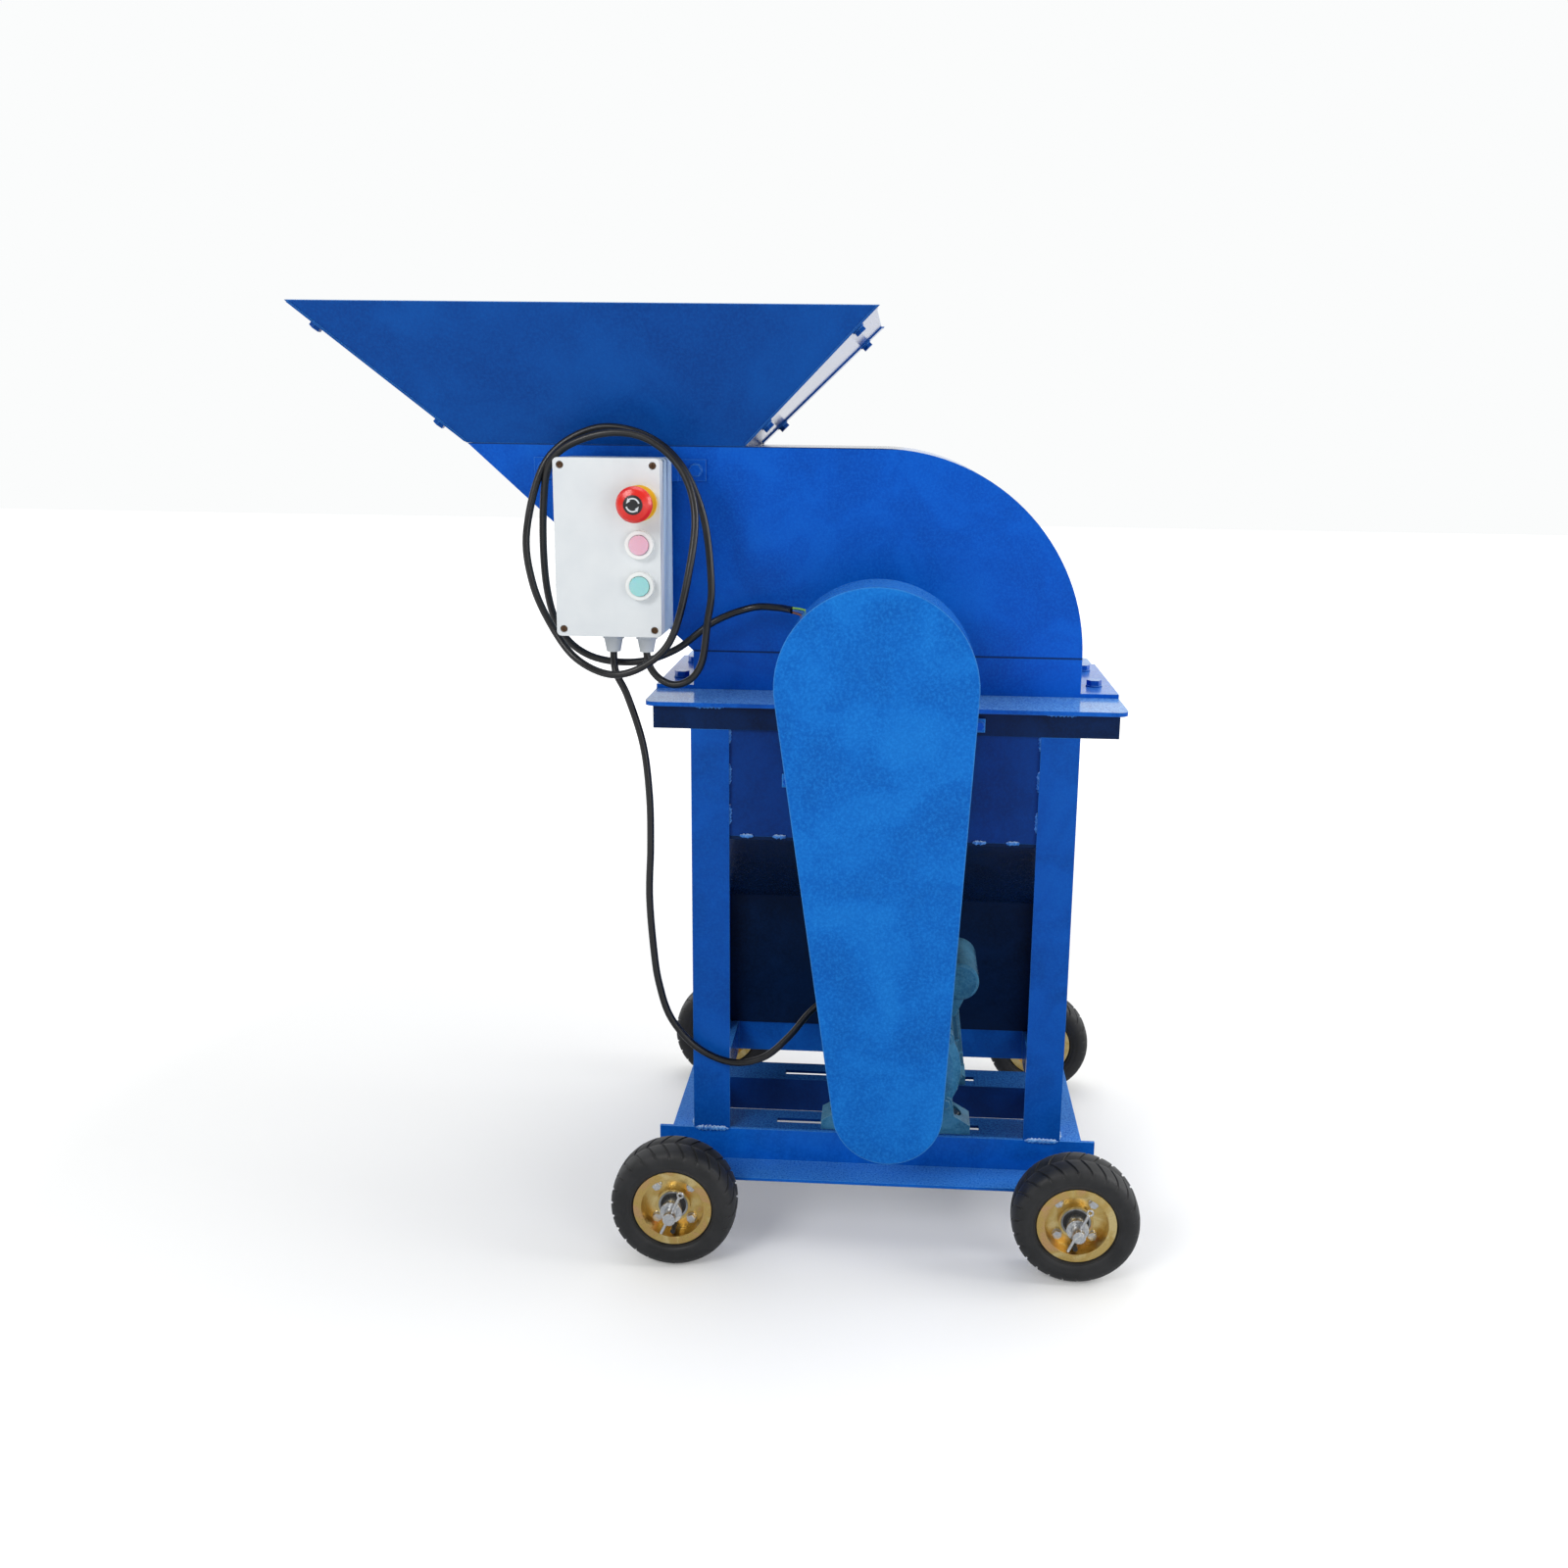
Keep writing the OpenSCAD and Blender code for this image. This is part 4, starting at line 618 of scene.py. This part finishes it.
def bearing_seals(wheel):
    """The black lip seal in the outer face of the wheel's bearing."""
    low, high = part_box(wheel + "_rim")
    hub = (low + high) / 2
    out = -1 if hub.y < 0 else 1
    face = hub.y + out * 11.5 * MM
    outline = [(9.4, 0.3), (9.4, -0.55), (10.6, -0.9), (12.6, -0.7), (14.6, -0.9), (15.2, -0.5),
               (15.2, 0.3)]
    piece = lathe(wheel + "_bearing_seal", [(r, y if out < 0 else -y) for r, y in outline],
                  hub, face, seal_rubber, wheel + "_wheel", 48)


def bead(points, faces, start, end, width, seed):
    """Adds one run of weld bead, rippled along its length, between two places in metres."""
    chance = random.Random(seed)
    along = end - start
    length = along.length
    along.normalize()
    side = along.orthogonal().normalized()
    other = along.cross(side)
    steps = max(6, int(length / (1.5 * MM)))
    ring = 8
    base = len(points)
    for i in range(steps + 1):
        t = i / steps
        taper = min(1, 5 * t + 0.25, 5 * (1 - t) + 0.25)
        ripple = 0.82 + 0.18 * math.cos(i * math.pi * 0.66) + chance.uniform(-0.10, 0.10)
        r = width / 2 * taper * ripple
        drift = side * chance.uniform(-0.06, 0.06) * width
        for k in range(ring):
            a = 2 * math.pi * k / ring
            points.append(start + along * length * t + drift + side * r * math.cos(a)
                          + other * r * math.sin(a))
    for i in range(steps):
        for k in range(ring):
            a, b = base + i * ring + k, base + i * ring + (k + 1) % ring
            faces.append((a, b, b + ring, a + ring))
    faces.append(tuple(base + k for k in reversed(range(ring))))
    faces.append(tuple(base + steps * ring + k for k in range(ring)))


def weld_runs(name, runs, width):
    """One piece with a bead along each run; the width is in millimetres."""
    points, faces = [], []
    for seed, (start, end) in enumerate(runs):
        bead(points, faces, Vector(start), Vector(end), width * MM, seed * 7 + 3)
    piece = mesh_piece(name, points, faces, weld_enamel, "root", 0)


def stitches(start, end, count, share, offset=0.0):
    """Runs of weld spaced along a line, each covering a share of its pitch."""
    start, end = Vector(start), Vector(end)
    step = (end - start) / count
    return [(start + step * (k + offset), start + step * (k + offset + share))
            for k in range(count)]


HALF_HOUSING = 0.233
HALF_SKIRT = 0.1805


def make_welds():
    """Weld beads at the foot of the lower housing's trough, which lies below the top plate, at
    the ends of the legs and along the edges of the skirt."""
    wall_low, wall_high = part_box("upper_housing")
    front, back = wall_low.y, wall_high.y
    housing_x = middle("lower_housing").x
    left, right = housing_x - HALF_HOUSING, housing_x + HALF_HOUSING
    trough_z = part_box("lower_housing")[0].z + 0.6 * MM
    weld_runs("housing_welds",
              stitches((left + 0.01, front - 0.0008, trough_z), (right, front - 0.0008, trough_z),
                       6, 0.72)
              + stitches((left + 0.01, back + 0.0008, trough_z), (right, back + 0.0008, trough_z),
                         6, 0.72), 9.0)
    leg_low, leg_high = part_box("legs")
    ring_z, rail_z = leg_high.z, leg_low.z
    runs = []
    for x0, x1 in ((leg_low.x + 0.002, leg_low.x + 0.043), (leg_high.x - 0.043, leg_high.x - 0.002)):
        for y in (leg_low.y - 0.0006, leg_high.y + 0.0006):
            for z in (ring_z, rail_z):
                runs.append(((x0, y, z), (x1, y, z)))
    for x in (leg_low.x - 0.0006, leg_high.x + 0.0006):
        for y0, y1 in ((leg_low.y + 0.003, leg_low.y + 0.040),
                       (leg_high.y - 0.040, leg_high.y - 0.003)):
            for z in (ring_z, rail_z):
                runs.append(((x, y0, z), (x, y1, z)))
    weld_runs("leg_welds", runs, 7.5)
    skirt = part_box("discharge_skirt")[0]
    slide_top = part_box("discharge_chute")[1].z
    mill_x = middle("legs").x
    face = skirt.y - 0.0006
    seam = leg_low.y + 0.0042
    runs = stitches((mill_x - HALF_SKIRT + 0.004, face, slide_top + 0.0005),
                    (mill_x + HALF_SKIRT - 0.004, face, slide_top + 0.0005), 9, 0.42, 0.2)
    for x in (mill_x - HALF_SKIRT, mill_x + HALF_SKIRT):
        runs += stitches((x, seam, slide_top + 0.004), (x, seam, ring_z - 0.006), 3, 0.5, 0.2)
    weld_runs("skirt_welds", runs, 6.0)


def curved_arrow(points, faces, centre, y, r0, r1, start, sweep):
    """Adds a flat arrow that turns about a centre, its head wider than its tail."""
    steps = 10
    base = len(points)
    rim = []
    for i in range(steps + 1):
        rim.append((r1, start + sweep * i / steps))
    head = sweep * 0.42
    mid = (r0 + r1) / 2
    rim.append((mid + (r1 - r0) * 1.25, start + sweep))
    rim.append((mid, start + sweep + head))
    rim.append((mid - (r1 - r0) * 1.25, start + sweep))
    for i in range(steps, -1, -1):
        rim.append((r0, start + sweep * i / steps))
    for depth in (0, 0.35):
        for r, a in rim:
            points.append(Vector((centre.x + r * MM * math.cos(a), y + depth * MM,
                                  centre.z + r * MM * math.sin(a))))
    n = len(rim)
    for k in range(steps):
        faces.append((base + k, base + k + 1, base + n - 2 - k, base + n - 1 - k))
    faces.append((base + steps, base + steps + 1, base + steps + 2, base + steps + 3,
                  base + steps + 4))
    for k in range(n):
        faces.append((base + k, base + (k + 1) % n, base + n + (k + 1) % n, base + n + k))


ARROW_INNER, ARROW_OUTER = 6.2, 8.0
ARROW_START = 0.25
ARROW_SWEEP = 1.9


def stop_head_disc():
    """The black disc in the middle of the emergency head, with its two turning arrows."""
    low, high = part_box("emergency_stop_head")
    centre, face = (low + high) / 2, low.y
    disc = lathe("stop_head_disc",
                 [(0.01, 0.35), (0.01, -0.30), (9.8, -0.28), (10.6, 0.05), (10.8, 0.75)],
                 centre, face, disc_black, "stop_head")
    points, faces = [], []
    for turn in (ARROW_START, ARROW_START + math.pi):
        curved_arrow(points, faces, centre, face - 0.55 * MM, ARROW_INNER, ARROW_OUTER, turn,
                     ARROW_SWEEP)
    arrows = mesh_piece("stop_head_arrows", points, faces, arrow_white, "stop_head", 30)


def make_leads():
    supply_line = smooth_line(SUPPLY_ROUTE, LEAD_STEPS)
    motor_line = smooth_line(MOTOR_ROUTE, LEAD_STEPS)
    supply = round_lead("supply_lead_sheath", [supply_line], LEAD_WIDTH)
    motor = round_lead("motor_lead_sheath", [motor_line], LEAD_WIDTH)
    supply.data.materials.append(lead_sheath)
    motor.data.materials.append(lead_sheath)
    names = ("brown_core", "blue_core", "earth_core")
    for name, route, material in zip(names, CORE_ROUTES, (core_brown, core_blue, core_green)):
        line = smooth_line(route, 5)
        core = round_lead(name, [line[:-2]], CORE_WIDTH)
        core.data.materials.append(material)
    wires = round_lead("copper_ends", [smooth_line(route, 5)[-3:] for route in CORE_ROUTES],
                       0.6 * CORE_WIDTH)
    wires.data.materials.append(copper_wire)
    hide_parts("supply_lead")
    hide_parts("motor_lead")


# ---- Studio ------------------------------------------------------------------------------------


def lamp(name, place, target, size, power):
    """A white rectangular lamp turned to its target."""
    data = bpy.data.lights.new(name, "AREA")
    data.shape = "RECTANGLE"
    data.size, data.size_y = size
    data.energy = power
    light = bpy.data.objects.new(name, data)
    COLLECTION.objects.link(light)
    light.location = place
    light.rotation_mode = "QUATERNION"
    light.rotation_quaternion = (Vector(target) - Vector(place)).to_track_quat("-Z", "Y")


FLOOR_REACH = 12
# Each lamp's name, place, size and power in watts
LAMPS = [("key", (-1.5, -2.4, 2.3), (1.3, 1.3), 40),
         ("fill", (1.9, -2.3, 1.2), (1.2, 1.6), 15),
         ("side", (2.3, -0.2, 1.5), (1.0, 1.4), 24),
         ("top", (0.1, 0.3, 3.0), (1.6, 1.6), 18)]


def make_studio():
    """A white paper floor, a bright room behind it and four soft lamps."""
    material, tree, place = start_material("pale_seamless_paper")
    fibre = add(tree, "TexNoise", {"Vector": place, "Scale": per_mm(4), "Detail": 3.0})
    tone = add(tree, "Mix", {0: fibre.outputs[0], 6: "#f4f4f3", 7: "#efefee"}, data_type="RGBA")
    relief = add(tree, "Bump", {"Strength": 0.05, "Distance": 0.2 * MM, "Height": fibre.outputs[0]})
    away = add(tree, "VectorMath", {0: place}, operation="LENGTH")
    glow = add(tree, "MapRange", {"Value": away.outputs["Value"], "From Min": 0.9, "From Max": 2.6,
                                  "To Min": 0.12, "To Max": 0.75})
    # Seen from the camera the paper is white, and it throws less of the light back up
    seen = add(tree, "LightPath").outputs["Is Camera Ray"]
    tone = add(tree, "Mix", {0: seen, 6: "#a8abae", 7: tone.outputs[2]}, data_type="RGBA")
    finish_material(tree, {"Base Color": tone.outputs[2], "Roughness": 0.85,
                           "Normal": relief.outputs[0], "Emission Color": "#ffffff",
                           "Emission Strength": glow.outputs[0]})
    mesh = bpy.data.meshes.new("floor")
    corners = [(-1, -1), (1, -1), (1, 1), (-1, 1)]
    mesh.from_pydata([(x * FLOOR_REACH, y * FLOOR_REACH, 0) for x, y in corners], [],
                     [(0, 1, 2, 3)])
    mesh.materials.append(material)
    floor = bpy.data.objects.new("floor", mesh)
    COLLECTION.objects.link(floor)
    # The studio: a white cove behind, a dimmer room in front
    world = bpy.data.worlds.new("studio")
    world.use_nodes = True
    sky = world.node_tree
    sky.nodes.clear()
    seen = add(sky, "LightPath").outputs["Is Camera Ray"]
    direction = add(sky, "SeparateXYZ", {0: add(sky, "TexCoord").outputs["Generated"]})
    cove = add(sky, "MapRange", {"Value": direction.outputs[1], "From Min": -0.25, "From Max": 0.25,
                                 "To Min": 0.34, "To Max": 0.95})
    strength = add(sky, "MapRange", {"Value": seen, "To Min": cove.outputs[0], "To Max": 1.0})
    room = add(sky, "Background", {0: "#fbfcfc", 1: strength.outputs[0]})
    add(sky, "OutputWorld", {0: room.outputs[0]})
    bpy.context.scene.world = world
    centre = (CAD_BOX[0] + CAD_BOX[1]) / 2
    for name, place, size, power in LAMPS:
        lamp(name, place, centre, size, power)
    bpy.context.scene.view_settings.view_transform = "Standard"


make_camera()
make_leads()
dress_frame()
for wheel_name in WHEELS:
    tyre(wheel_name)
    bearing_seals(wheel_name)
make_welds()
stop_head_disc()
make_studio()
